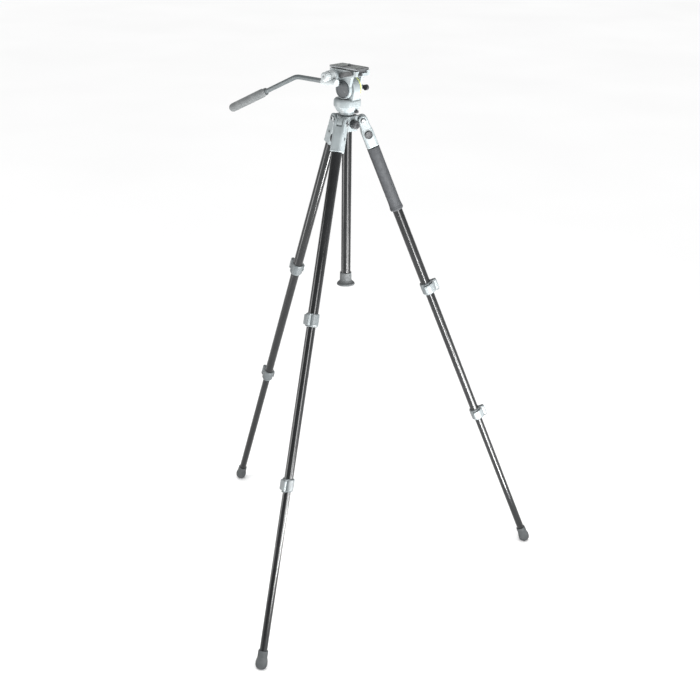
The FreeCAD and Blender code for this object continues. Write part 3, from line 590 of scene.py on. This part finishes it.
for node, slot in SLOTS.items():
    owner = node.split("_")[0]
    dress(node, TUBE.get(owner, TUBE["column"]) if slot == "black_tube" else BY_SLOT[slot])
dress("right_grip_sleeve", FOAM)
dress("handle_arm", ARM)
print("dressed", len(SLOTS), "packed pieces")

# %% [markdown]
# ## Leg castings
# A casting is a squarish socket whose top is scooped out between two ears, where the hub's
# lug sits. The socket is one grid: each row is a rounded rectangle, and the top rows dip
# towards the middle to make the notch. The ears are rounded slabs.

# %% One casting per leg
CORNER = 7.5
NOTCH_FLOOR, NOTCH_RISE, NOTCH_POWER = -16.0, 14.5, 1.25
NOTCH_LIP = ((9.0, 0.8), (4.0, 0.6), (1.6, 0.0), (0.5, -0.4), (0.0, -1.6))
LOWER_LIP = ((0.0, 3.0), (-0.35, 2.6), (-0.35, 1.2), (0.1, 0.5), (1.0, 0.0))
LUG_HALF = 7.3


def ease(t):
    """Smooth step from 0 to 1."""
    t = np.clip(t, 0.0, 1.0)
    return t * t * (3 - 2 * t)


def socket_row(half_x, half_y, inset):
    """Rounded rectangle about the tube's axis."""
    corners = [(-half_x, -half_y), (half_x, -half_y), (half_x, half_y), (-half_x, half_y)]
    return rounded(corners, CORNER, inset, 8)


def casting_socket(round_radius, half, end):
    """Rows of rounded rectangles down the leg; the top dips between the ears."""
    rows = []
    for inset, depth in NOTCH_LIP:
        outline = socket_row(round_radius, half, inset)
        dip = NOTCH_FLOOR + NOTCH_RISE * (np.abs(outline[:, 1]) / half) ** NOTCH_POWER
        rows.append(np.column_stack([outline, dip - 0.9 * max(inset - 1.6, 0) + depth]))
    for height in np.linspace(-20.0, 3.5 - end, 14):
        outline = socket_row(round_radius + (half - round_radius) * ease((-height - 12) / 22), half, 0.0)
        rows.append(np.column_stack([outline, np.full(len(outline), height)]))
    for inset, above in LOWER_LIP:
        outline = socket_row(half, half, inset)
        rows.append(np.column_stack([outline, np.full(len(outline), above - end)]))
    return grid_part(rows, "pole", "cap")


def add_casting(leg):
    """Socket and two ears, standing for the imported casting."""
    spot = LEG_PLACES[leg]
    low, high = reach(leg + "_casting", spot)
    round_radius, half, end = high[2], high[1], -low[2]
    parts = [put(casting_socket(round_radius, half, end), spot)]
    outline = [(-11.6, -24), (-round_radius, 4), (-round_radius, round_radius),
               (round_radius, round_radius), (round_radius, 2), (12.6, -24)]
    radii = [1, 6, round_radius * 0.93, round_radius * 0.93, 6, 1]
    side = turned_about(spot, 0, 90)
    for sign in (-1, 1):
        ear = slab(outline, radii, LUG_HALF, half - 0.15, 3.2, 5, 9)
        ear[0][:, 2] *= sign
        parts.append(put(ear, side))
    make(leg + "_casting_shaped", parts, leg + "_leg", PAINT, [leg + "_casting"])


for leg in LEGS:
    add_casting(leg)
print("castings", MADE[-3:])

# %% [markdown]
# ## Hinge bolts
# Each hinge has a button-head bolt with a hexagon socket at both ends. Both heads are turned,
# and a shape function bends the inner rings into a hexagon.

# %% Bolt heads
HEX_SPREAD = 1.12
BOLT_RADIUS, BOLT_HEIGHT, SHANK_RADIUS = 7.0, 3.0, 3.0


def hexed(socket):
    """Shape function: rings inside the socket radius become a hexagon."""
    def shape(angle, radius, height):
        """Distance to the hexagon's flat at this angle, as a share of the ring's radius."""
        sector = np.mod(angle, math.pi / 3) - math.pi / 6
        flat = math.cos(math.pi / 6) / np.cos(sector)
        return np.where(radius <= socket + 1e-6, radius * flat * HEX_SPREAD, radius)
    return shape


def fluted(count, depth, outer, band):
    """Shape function: scallops round the outside, only where the radius is near the outer one."""
    def shape(angle, radius, height):
        """Radius less a wave that is deepest between two flutes."""
        wave = 0.5 - 0.5 * np.cos(count * angle)
        return radius - depth * wave ** 0.7 * (radius > outer - band)
    return shape


def bolt_head(radius, height):
    """Button head: a low dome with a hexagon socket."""
    profile = [(0, 0), (radius - 0.3, 0), (radius, 0.3), (radius, 0.9), (radius * 0.93, height * 0.68),
               (radius * 0.72, height * 0.94), (radius * 0.58, height), (radius * 0.5, height),
               (radius * 0.47, height - 0.25), (radius * 0.46, height - 1.9), (0, height - 2.1)]
    return lathe(profile, 60, hexed(radius * 0.5))


def add_bolts():
    """Six heads, two on each hinge, and the shanks between them."""
    parts = []
    for leg in LEGS:
        spot = LEG_PLACES[leg]
        half = reach(leg + "_casting", spot)[1][1]
        for turn in (90, -90):
            side = turned_about(spot, 0, turn)
            parts.append(put(bolt_head(BOLT_RADIUS, BOLT_HEIGHT), moved(side, z=half + 0.2)))
        end = half + 0.3
        shank = [(0, -end), (SHANK_RADIUS, -end), (SHANK_RADIUS, end), (0, end)]
        parts.append(put(lathe(shank, 24), turned_about(spot, 0, 90)))
    make("hinge_bolts_shaped", parts, "hub", STEEL, ["hinge_bolts"], 30)


add_bolts()
print("bolts", MADE[-1])

# %% [markdown]
# ## Angle stops
# Pulling a stop lets its leg swing past the next step. It is a bar through the casting with a
# dark round pad on one end: turned, with a knurled rim and a shallow dish for the thumb.

# %% Angle stops
PAD_THICKNESS = 4.3
BAR_RADIUS = 4.0


def add_stop(leg):
    """Knurled pad with a thumb dish, on the bar that passes through the casting."""
    spot = LEG_PLACES[leg]
    low, high = reach(leg + "_angle_stop", spot)
    radius = (high[2] - low[2]) / 2
    middle = moved(spot, z=(high[2] + low[2]) / 2)
    near = turned_about(middle, 0, 90)
    out = -low[1]
    back = out - PAD_THICKNESS
    dish = [(radius - 1.1, out), (radius - 3.0, out), (radius - 3.9, out - 1.1), (0, out - 1.6)]
    rim = [(0, back), (radius - 0.6, back), (radius, back + 0.7), (radius, out - 0.9)]
    pad = soft_profile(rim + dish, 0.5)
    bar = [(0, -high[1]), (BAR_RADIUS - 0.5, -high[1]), (BAR_RADIUS, 0.5 - high[1]),
           (BAR_RADIUS, out - 2.5), (0, out - 2.5)]
    parts = [put(lathe(pad, 120, fluted(20, 0.75, radius, 1.6)), near), put(lathe(bar, 32), near)]
    stop = leg + "_angle_stop"
    make(stop + "_shaped", parts, stop, BLACK, [stop])


for leg in LEGS:
    add_stop(leg)
print("angle stops", MADE[-3:])

# %% [markdown]
# ## Leg locks
# A lock is a collar with two ears that carry a pin, and a lever that hugs the collar. The
# collar is turned from a soft profile, and the ears are rounded slabs above and below the
# lever.

# %% Collars
COLLAR_WALL = 4.0
OUTSIDE = {"upper": TUBE_RADIUS["upper"], "lower": TUBE_RADIUS["middle"]}
INSIDE = {"upper": TUBE_RADIUS["middle"], "lower": TUBE_RADIUS["lower"]}


def lock_place(leg, which):
    """Lock's centre, the pin's distance, and the half heights of collar and lever."""
    spot = LEG_PLACES[leg]
    low, high = reach("%s_%s_lock_collar" % (leg, which), spot)
    lever_low, lever_high = reach("%s_%s_lock_lever" % (leg, which), spot)
    origin, axes = centre = moved(spot, z=(low[2] + high[2]) / 2)
    pin = np.array(JOINTS["%s_%s_lever_flip" % (leg, which)]["pos_m"])
    pin_x = float(((pin - origin) @ axes)[0] / MM)
    return centre, pin_x, (high[2] - low[2]) / 2, (lever_high[2] - lever_low[2]) / 2


def add_collar(leg, which):
    """Turned ring, two rounded ears and the pin's ends, all in the collar's finish."""
    outer, inner = OUTSIDE[which], INSIDE[which]
    spot, pin_x, half, lever_half = lock_place(leg, which)
    ring = outer + COLLAR_WALL
    profile = [(inner + 0.15, -half), (inner + 2.8, -half), (ring - 1.3, 2.2 - half), (ring, 5.0 - half),
               (ring, half - 3.0), (ring - 0.9, half - 0.8), (outer + 1.2, half), (outer + 0.1, half)]
    soft = soft_profile(profile, [0.5, 0.8, 2.0, 2.0, 1.6, 1.0, 0.5, 0.3])
    parts = [put(lathe_loop(soft), spot)]
    ear = [(outer + 0.5, -6.2), (pin_x + 1, -5.2), (pin_x + 4.2, -3.0), (pin_x + 4.2, 3.0),
           (pin_x + 1, 5.2), (outer + 0.5, 6.2)]
    radii = [0.5, 2.5, 3.0, 3.0, 2.5, 0.5]
    parts.append(put(slab(ear, radii, lever_half + 0.4, half - 1.0, 0.8), spot))
    parts.append(put(slab(ear, radii, 1.2 - half, -lever_half - 0.4, 0.8), spot))
    pin = [(0, 0.4 - half), (1.9, 0.4 - half), (2.4, 0.9 - half),
           (2.4, half - 0.6), (1.9, half - 0.1), (0, half - 0.1)]
    parts.append(put(lathe(pin, 28), moved(spot, x=pin_x)))
    name = "%s_%s_lock_collar" % (leg, which)
    body = leg + ("_leg" if which == "upper" else "_middle")
    make(name + "_shaped", parts, body, COLLAR, [name])


# %% [markdown]
# ## Lock levers
# The lever is a band swept round the collar whose section is a superellipse. It narrows and
# thins to a lip where a finger lifts it, and a barrel joins it to the pin.

# %% Levers
SWEEP_START, SWEEP_END = 4, -122
SWEEP_ROWS = 44
SECTION_POWER, SECTION_POINTS = 4.2, 32


def superellipse(power, count):
    """Outline one unit wide each way; power 2 is a circle and larger powers are squarer."""
    s = np.linspace(0, 2 * math.pi, count, endpoint=False)
    x = np.sign(np.cos(s)) * np.abs(np.cos(s)) ** (2 / power)
    y = np.sign(np.sin(s)) * np.abs(np.sin(s)) ** (2 / power)
    return np.column_stack([x, y])


def add_lever(leg, which):
    """Swept band from the pin round the collar, with a barrel about the pin."""
    outer = OUTSIDE[which]
    spot, pin_x, half, lever_half = lock_place(leg, which)
    inside = outer + 4.8
    turn = np.linspace(math.radians(SWEEP_START), math.radians(SWEEP_END), SWEEP_ROWS)
    t = np.linspace(0, 1, SWEEP_ROWS)
    tip = np.sqrt(np.clip(1 - (np.clip(t - 0.93, 0, 1) / 0.07) ** 2, 0.0, 1))
    thick = (2.15 - 0.75 * ease(t * 1.1)) * np.maximum(tip, 0.15)
    tall = lever_half * (1 - 0.16 * ease((t - 0.35) / 0.65)) * (0.55 + 0.45 * tip)
    lift = inside + thick + 0.25 + 0.7 * ease((t - 0.82) / 0.18)
    outline = superellipse(SECTION_POWER, SECTION_POINTS)
    radial = lift[:, None] + outline[None, :, 0] * thick[:, None]
    height = outline[None, :, 1] * tall[:, None]
    grid = np.stack([radial * np.cos(turn)[:, None], radial * np.sin(turn)[:, None], height], axis=-1)
    parts = [put(grid_part(grid), spot)]
    barrel = soft_profile([(0, -lever_half), (5.2, -lever_half), (5.2, lever_half), (0, lever_half)], 0.9)
    parts.append(put(lathe(barrel, 40), moved(spot, x=pin_x)))
    bridge = [(outer + 5.4, -5.0), (pin_x + 2.0, -5.1), (pin_x + 2.0, 2.0), (outer + 5.4, 2.0)]
    parts.append(put(slab(bridge, [1.0, 4.0, 3.0, 1.0], -lever_half + 0.4, lever_half - 0.4, 0.8), spot))
    name = "%s_%s_lock_lever" % (leg, which)
    make(name + "_shaped", parts, "%s_%s_lever" % (leg, which), LEVER, [name])


for leg in LEGS:
    for which in ("upper", "lower"):
        add_collar(leg, which)
        add_lever(leg, which)
print("locks", len(LEGS) * 2)

# %% [markdown]
# ## Feet, sleeve and the column's foot
# A rubber foot is turned with three grip grooves, and whatever would pass through the floor
# is pressed flat on it. The foam sleeve swells into a soft lip at its lower end.

# %% Rubber parts
BALL_RADIUS = 15.5
BALL_DROP = 35.0
GROOVES = (7.0, 11.0, 15.0)


def add_foot(leg):
    """Turned boot with a ball sole, flattened where it meets the floor."""
    spot = LEG_PLACES[leg]
    low, high = reach(leg + "_foot", spot)
    top, tube = high[2], TUBE_RADIUS["lower"]
    ball, ball_at = BALL_RADIUS, top - BALL_DROP
    line = [(tube + 0.05, top), (tube + 2.3, top), (tube + 2.9, top - 1.5), (tube + 3.0, top - 5)]
    for groove in GROOVES:
        start = top - groove
        line += [(tube + 3.1, start), (tube + 2.3, start - 0.7),
                 (tube + 2.3, start - 1.5), (tube + 3.2, start - 2.2)]
    line += [(tube + 3.4, top - 20), (ball - 0.7, top - 26), (ball, top - 29)]
    swing = np.linspace(0.12, math.pi / 2, 14)
    line += [(ball * math.cos(a), ball_at - ball * math.sin(a)) for a in swing[:-1]] + [(0, ball_at - ball)]
    profile = np.vstack([[(0, top)], soft_profile(line, 0.5, 3)])
    vertices, faces = put(lathe(profile, 64), spot)
    vertices[:, 2] = np.maximum(vertices[:, 2], 0.0)
    make(leg + "_foot_shaped", [(vertices, faces)], leg + "_lower", RUBBER, [leg + "_foot"])


def add_sleeve():
    """Foam tube with a rounded upper end and a flared lower lip."""
    spot = LEG_PLACES["right"]
    low, high = reach("right_grip_sleeve", spot)
    bore, flare = TUBE_RADIUS["upper"] + 0.1, radius_of("right_grip_sleeve", spot)
    top, bottom, plain = high[2], low[2], flare - 1.6
    line = [(bore, top), (plain - 1.6, top), (plain, top - 1.8), (plain, bottom + 22),
            (plain + 0.5, bottom + 12), (flare, bottom + 5), (flare, bottom + 2.2), (flare - 1.2, bottom),
            (bore, bottom)]
    parts = [put(lathe_loop(soft_profile(line, [1, 1.2, 2, 8, 8, 3, 1.5, 1.2, 1])), spot)]
    make("right_grip_sleeve_shaped", parts, "right_leg", FOAM, ["right_grip_sleeve"])


def add_column_foot():
    """Three-lobed end of the column, with a collar above it."""
    low, high = reach("column_foot", WORLD)
    radius, bottom, top = radius_of("column_foot", WORLD), low[2], high[2]
    neck = 15.2

    def lobes(angle, r, height):
        """Three shallow waists, deepest at the rim."""
        return r * (1 - 0.11 * np.clip((r - 15) / 9, 0, 1) * (0.5 - 0.5 * np.cos(3 * angle)) ** 1.5)

    line = [(0, bottom), (radius - 3.5, bottom), (radius - 0.8, bottom + 1.2), (radius, bottom + 3.4),
            (radius - 1.0, bottom + 6.0), (radius - 5.0, bottom + 8.2), (17.5, bottom + 10.2),
            (neck + 0.4, bottom + 13.5), (neck, top - 8.0), (neck, top - 1.4), (neck - 1.2, top), (0, top)]
    parts = [put(lathe(soft_profile(line, 1.2), 96, lobes), WORLD)]
    make("column_foot_shaped", parts, "column", RUBBER, ["column_foot"])


for leg in LEGS:
    add_foot(leg)
add_sleeve()
add_column_foot()
print("rubber parts", [name for name, _ in MADE[-5:]])

# %% [markdown]
# ## Knobs
# One maker serves the three knobs: a shank, a skirt and a scalloped head with a rounded top.
# Each one sits on its joint's axis, so turning it in a pose is turning it truly.

# %% Scalloped knobs


def add_knob(node, finish, flutes, dish):
    """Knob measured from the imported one, whose body bears its name and whose joint turns it."""
    spot = along_place(node + "_turn")
    points = local_points(node, spot)
    if abs(points[:, 2].min()) > abs(points[:, 2].max()):
        spot = along_place(node + "_turn", -1.0)
        points = local_points(node, spot)
    from_axis = np.hypot(points[:, 0], points[:, 1])
    radius, low, high = from_axis.max(), points[:, 2].min(), points[:, 2].max()
    head_low = points[from_axis > radius * 0.8][:, 2].min()
    edge = radius * 0.16
    line = [(0, head_low), (radius * 0.72, head_low), (radius * 0.8, head_low + edge * 0.6),
            (radius, head_low + edge * 1.5), (radius, high - edge * 1.3), (radius - edge, high),
            (radius * 0.62, high), (radius * 0.5, high - dish), (0, high - dish)]
    scallops = fluted(flutes, radius * 0.07, radius, radius * 0.12)
    shank = radius * 0.36
    parts = [put(lathe(soft_profile(line, edge), 144, scallops), spot),
             put(lathe([(0, low), (shank, low), (shank, head_low + 0.5), (0, head_low + 0.5)], 32), spot)]
    make(node + "_shaped", parts, node, finish, [node])


add_knob("column_lock_knob", BLACK, 12, 0.8)
add_knob("pan_lock_knob", BLACK, 10, 0.3)
add_knob("handle_clamp_knob", KNOB_GREY, 16, 1.6)
print("knobs", MADE[-3:])

# %% [markdown]
# ## Castings of the head and hub
# These are solids with many flats and bores, and their shape is already right. A copy of the
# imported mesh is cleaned, its flat faces are joined, and a small bevel rounds every edge as
# the mould does.

# %% Bevelled copies
EDGE_ANGLE = math.radians(28.0)
WELD = 0.00002
FLAT = math.radians(1.0)


def softened(node, body, finish, slot, width):
    """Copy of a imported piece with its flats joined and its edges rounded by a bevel."""
    mesh = frame["nodes"][node].data.copy()
    mesh.name = node + "_soft"
    work = bmesh.new()
    work.from_mesh(mesh)
    bmesh.ops.remove_doubles(work, verts=work.verts, dist=WELD)
    bmesh.ops.dissolve_limit(work, angle_limit=FLAT, verts=work.verts, edges=work.edges)
    work.to_mesh(mesh)
    work.free()
    mesh.materials.clear()
    mesh.materials.append(finish)
    mesh.polygons.foreach_set("use_smooth", [True] * len(mesh.polygons))
    if mesh.has_custom_normals:
        mesh.attributes.remove(mesh.attributes["custom_normal"])
    mesh.set_sharp_from_angle(angle=EDGE_ANGLE)
    piece = linked(node + "_soft", mesh)
    bevel = piece.modifiers.new("rounding", "BEVEL")
    bevel.width = width * MM
    bevel.segments = 3
    bevel.limit_method = "ANGLE"
    bevel.angle_limit = EDGE_ANGLE
    bevel.use_clamp_overlap = True
    bevel.harden_normals = True
    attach(piece, body)
    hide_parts(node)
    MADE.append((piece.name, len(mesh.polygons)))


for copy in (("spider_hub", "hub", PAINT, "grey_casting", 0.9),
             ("pan_base", "column", PAINT, "grey_casting", 0.7),
             ("column_top_plate", "column", PAINT, "grey_casting", 0.5),
             ("head_body", "head", PAINT, "grey_casting", 0.9),
             ("tilt_platform", "platform", PAINT, "grey_casting", 0.7),
             ("handle_clamp", "handle", KNOB_GREY, "grey_casting", 0.8),
             ("quick_plate", "quick_plate", PLATE, "plate_alloy", 0.5),
             ("plate_lock_lever", "plate_lock_lever", BLACK, "black_plastic", 0.6),
             ("tilt_lock_lever", "tilt_lock_lever", BLACK, "black_plastic", 0.7),
             ("safety_button", "safety_button", BLACK, "black_plastic", 0.4)):
    softened(*copy)
print("bevelled copies", [name for name, _ in MADE[-10:]])

# %% [markdown]
# ## Cover and grip
# The round cover has a raised rim round a dished face. The grip is rubber with a narrower
# neck, fine rings and a domed end, turned about its own longest direction.

# %% Cover and grip
RING_PITCH = 6.5
ARM_RADIUS = 6.05


def add_side_cap():
    """Dished cover with a rim, on the tilt axis."""
    spot = along_place("tilt", -1.0)
    points = local_points("side_cap", spot)
    radius = np.hypot(points[:, 0], points[:, 1]).max()
    low, high = points[:, 2].min(), points[:, 2].max()
    line = [(0, low), (radius, low), (radius, high - 0.7), (radius - 0.9, high), (radius - 1.9, high),
            (radius - 2.5, high - 1.0), (radius - 5.0, high - 0.5), (radius - 9, high - 0.25),
            (0, high - 0.1)]
    cover = lathe(soft_profile(line, [0.3, 0.5, 0.5, 0.4, 0.4, 0.5, 3, 5, 1]), 96)
    make("side_cap_shaped", [put(cover, spot)], "platform", COVER, ["side_cap"])


def grip_place():
    """Z runs back along the grip from its neck; found as the grip's longest direction."""
    points = local_points("handle_grip", WORLD) * MM
    centre = points.mean(axis=0)
    long_axis = np.linalg.svd(points - centre, full_matrices=False)[2][0]
    if long_axis @ HEAD[1][:, 0] > 0:
        long_axis = -long_axis
    y = HEAD[1][:, 1]
    x = unit(np.cross(y, long_axis))
    return place(centre, x, np.cross(long_axis, x), long_axis)


def add_grip():
    """Turned grip: neck, shoulder, ringed middle and a domed end."""
    spot = grip_place()
    low, high = reach("handle_grip", spot)
    centre = (low + high) / 2
    spot = moved(spot, centre[0], centre[1])
    start, end, radius = low[2], high[2], radius_of("handle_grip", spot)
    neck = radius - 1.9
    line = [(ARM_RADIUS, start), (radius - 2.6, start), (neck, start + 0.9), (neck, start + 9.0),
            (radius - 1.2, start + 11.5), (radius - 0.1, start + 15.0)]
    for ring in np.arange(24, end - start - 24, RING_PITCH) + start:
        line += [(radius, ring), (radius - 0.35, ring + 0.8),
                 (radius - 0.35, ring + 1.6), (radius, ring + 2.4)]
    line += [(radius, end - 14), (radius - 0.25, end - 9), (radius - 1.3, end - 5), (radius - 3.6, end - 1.8),
             (radius - 7.0, end - 0.2), (0, end)]
    profile = np.vstack([[(0, start)], soft_profile(line, 1.0, 3)])
    make("handle_grip_shaped", [put(lathe(profile, 64), spot)], "handle", GRIP, ["handle_grip"])


add_side_cap()
add_grip()
print("cover and grip", MADE[-2:])

# %% [markdown]
# ## Plate pad and camera screw
# The pad is two fields of rubber ribs, one on each side of the screw. The screw's thread is a
# helix: the radius follows a wave that climbs one pitch in each turn.

# %% Pad and screw
RIB_PITCH, RIB_WIDTH = 2.4, 1.2
THREAD_PITCH, THREAD_RADIUS, THREAD_DEPTH = 1.27, 3.175, 0.62


def add_pad():
    """Rubber pad of two ribbed fields beside the screw."""
    low, high = reach("plate_pad", HEAD)
    bottom, top = low[2], high[2]
    middle = (low[0] + high[0]) / 2
    parts = []
    for start, end in ((low[0], middle - 7.5), (middle + 7.5, high[0])):
        base = [(start, low[1]), (end, low[1]), (end, high[1]), (start, high[1])]
        parts.append(put(slab(base, 2.5, bottom - 0.05, top - 0.45, 0.3), HEAD))
        near, far = low[1] + 1.6, high[1] - 1.6
        for line in np.arange(start + 2.2, end - 1.5, RIB_PITCH):
            rib = [(line, near), (line + RIB_WIDTH, near), (line + RIB_WIDTH, far), (line, far)]
            parts.append(put(slab(rib, 0.5, top - 0.6, top, 0.25, 2, 3), HEAD))
    make("plate_pad_shaped", parts, "quick_plate", PAD, ["plate_pad"])


def add_screw():
    """Camera screw: slotted head below, neck, and a thread that climbs one pitch a turn."""
    spot = along_place("camera_screw_turn")
    points = local_points("camera_screw", spot)
    radius = np.hypot(points[:, 0], points[:, 1])
    low, high = points[:, 2].min(), points[:, 2].max()
    start = high - 4.5
    height = np.linspace(start, high, 60)
    taper = np.minimum(1.0, (high - height) / 0.8 * 0.25 + 0.75)
    profile = np.vstack([[(0, start - 6)], [(2.6, start - 6), (2.6, start - 0.05)],
                         np.column_stack([THREAD_RADIUS * taper, height]), [(0, high)]])

    def thread(angle, r, z):
        """Triangular wave in the radius whose phase turns with the angle."""
        phase = np.mod(z / THREAD_PITCH - angle / (2 * math.pi), 1.0)
        wave = 1 - np.abs(2 * phase - 1)
        return np.where(z > start, r - THREAD_DEPTH * (1 - wave), r)

    wide = radius.max()
    head = soft_profile([(0, low), (wide, low), (wide, low + 3.8), (0, low + 3.8)], 0.5)
    parts = [put(lathe(profile, 48, thread), spot), put(lathe(head, 64, fluted(24, 0.3, wide, 0.6)), spot)]
    make("camera_screw_shaped", parts, "camera_screw", STEEL, ["camera_screw"])


add_pad()
add_screw()
print("pieces so far", len(MADE))

# %% [markdown]
# ## Camera
# The camera stands 2.8 m away and 1.9 m up, looking down by 24 degrees through a 57 mm lens.

# %% Standing things in the scene


def stand(name, data, axes, at):
    """New object in the scene with these three axes and this origin."""
    thing = linked(name, data)
    matrix = np.eye(4)
    matrix[:3, :3] = np.column_stack(axes)
    matrix[:3, 3] = at
    thing.matrix_world = Matrix(matrix.tolist())
    return thing


CAMERA_AT = (1.0256, -2.5622, 1.8872)
CAMERA_YAW = math.radians(21.815 - 0.281)
CAMERA_DOWN = math.radians(24.0)
CAMERA_ROLL = math.radians(0.625)
LENS = 57.0


def add_camera():
    """Camera whose axes come from yaw, the angle down and a small roll."""
    look = np.array([-math.sin(CAMERA_YAW) * math.cos(CAMERA_DOWN),
                     math.cos(CAMERA_YAW) * math.cos(CAMERA_DOWN), -math.sin(CAMERA_DOWN)])
    right = np.array([math.cos(CAMERA_YAW), math.sin(CAMERA_YAW), 0.0])
    up = np.cross(right, look)
    rolled_right = math.cos(CAMERA_ROLL) * right + math.sin(CAMERA_ROLL) * up
    rolled_up = -math.sin(CAMERA_ROLL) * right + math.cos(CAMERA_ROLL) * up
    data = bpy.data.cameras.new("camera")
    data.lens = LENS
    data.sensor_width = 36.0
    bpy.context.scene.camera = stand("camera", data, (rolled_right, rolled_up, -look), CAMERA_AT)


add_camera()
print("camera at", CAMERA_AT)

# %% [markdown]
# ## Floor
# A plain pale floor that runs on to the horizon, so no edge of it shows from any side.

# %% Floor
FLOOR_RADIUS = 60.0
FLOOR_DROP = 0.0005


def add_floor():
    """Round pale floor just under the feet."""
    angle = np.linspace(0, 2 * math.pi, 96, endpoint=False)
    ring = np.column_stack([np.cos(angle), np.sin(angle), np.zeros_like(angle)]) * FLOOR_RADIUS
    ring[:, 2] = -FLOOR_DROP
    mesh = bpy.data.meshes.new("floor")
    mesh.from_pydata(ring.tolist(), [], [list(range(len(ring)))])
    material, nodes, links, shader, where = node_tree("pale_floor")
    links.new(tint(nodes, links, noise(nodes, links, where, 0.6, 2.0), (0.9, 0.9, 0.9), (0.93, 0.93, 0.93)),
              shader.inputs["Base Color"])
    shader.inputs["Roughness"].default_value = 0.9
    shader.inputs["Specular IOR Level"].default_value = 0.1
    mesh.materials.append(material)
    floor = linked("floor", mesh)


add_floor()
print("floor radius", FLOOR_RADIUS)

# %% [markdown]
# ## Soft studio light
# An even white sky and a wide overhead light keep the floor pale. A black gloss tube shows
# only what it mirrors, and seen from above it mirrors what lies low. So a soft box stands low
# on each side, and three long strips lie on the floor and draw lines down the tubes.

# %% Lights
STRIP_HEIGHT = 0.01


def add_panel(name, axes, at, size, watts):
    """Rectangular light that shines against its Z axis and isn't seen by the camera."""
    data = bpy.data.lights.new(name, "AREA")
    data.shape = "RECTANGLE"
    data.size, data.size_y = size
    data.energy = watts
    stand(name, data, axes, at).visible_camera = False


def add_soft_box(name, at, aim, size, watts):
    """Panel that faces a point."""
    z = unit(np.array(at, float) - np.array(aim, float))
    x = unit(np.cross(UP, z))
    add_panel(name, (x, np.cross(z, x), z), at, size, watts)


def add_floor_strip(name, start, end, width, watts):
    """Long panel just over the floor that shines up."""
    start, end = np.array(start, float), np.array(end, float)
    along = unit(np.append(end - start, 0.0))
    middle = np.append((start + end) / 2, STRIP_HEIGHT)
    size = (float(np.linalg.norm(end - start)), width)
    add_panel(name, (along, np.cross(-UP, along), -UP), middle, size, watts)


def add_sky(strength):
    """Even white surroundings."""
    world = bpy.data.worlds.new("white_room")
    world.use_nodes = True
    background = world.node_tree.nodes["Background"]
    background.inputs["Color"].default_value = (1, 1, 1, 1)
    background.inputs["Strength"].default_value = strength
    bpy.context.scene.world = world


def add_overhead(strength, softness):
    """Wide soft light from straight above, as even on the far floor as on the near one."""
    data = bpy.data.lights.new("overhead", "SUN")
    data.energy = strength
    data.angle = math.radians(softness)
    linked("overhead", data)


add_sky(0.34)
add_overhead(2.3, 60)
add_soft_box("box_right", (1.2, -1.05, 0.66), (0.12, 0.02, 0.9), (0.5, 1.3), 30)
add_soft_box("box_left", (-2.1, -1.5, 0.95), (0, 0, 0.85), (1.1, 1.5), 36)
add_floor_strip("strip_leg", (0.72, 0.05), (1.55, -1.75), 0.14, 80)
add_floor_strip("strip_column", (1.2, -0.3), (3.0, -0.75), 0.7, 110)
add_floor_strip("strip_left", (-1.25, -0.85), (-2.3, -1.6), 0.5, 16)
bpy.context.scene.view_settings.view_transform = "Standard"
print("lights", len(bpy.data.lights))

# %% [markdown]
# ## Closing
# The number of shaped pieces and their faces is printed.

# %% Measure and finish
print("pieces made", len(MADE), "faces", sum(count for _, count in MADE))
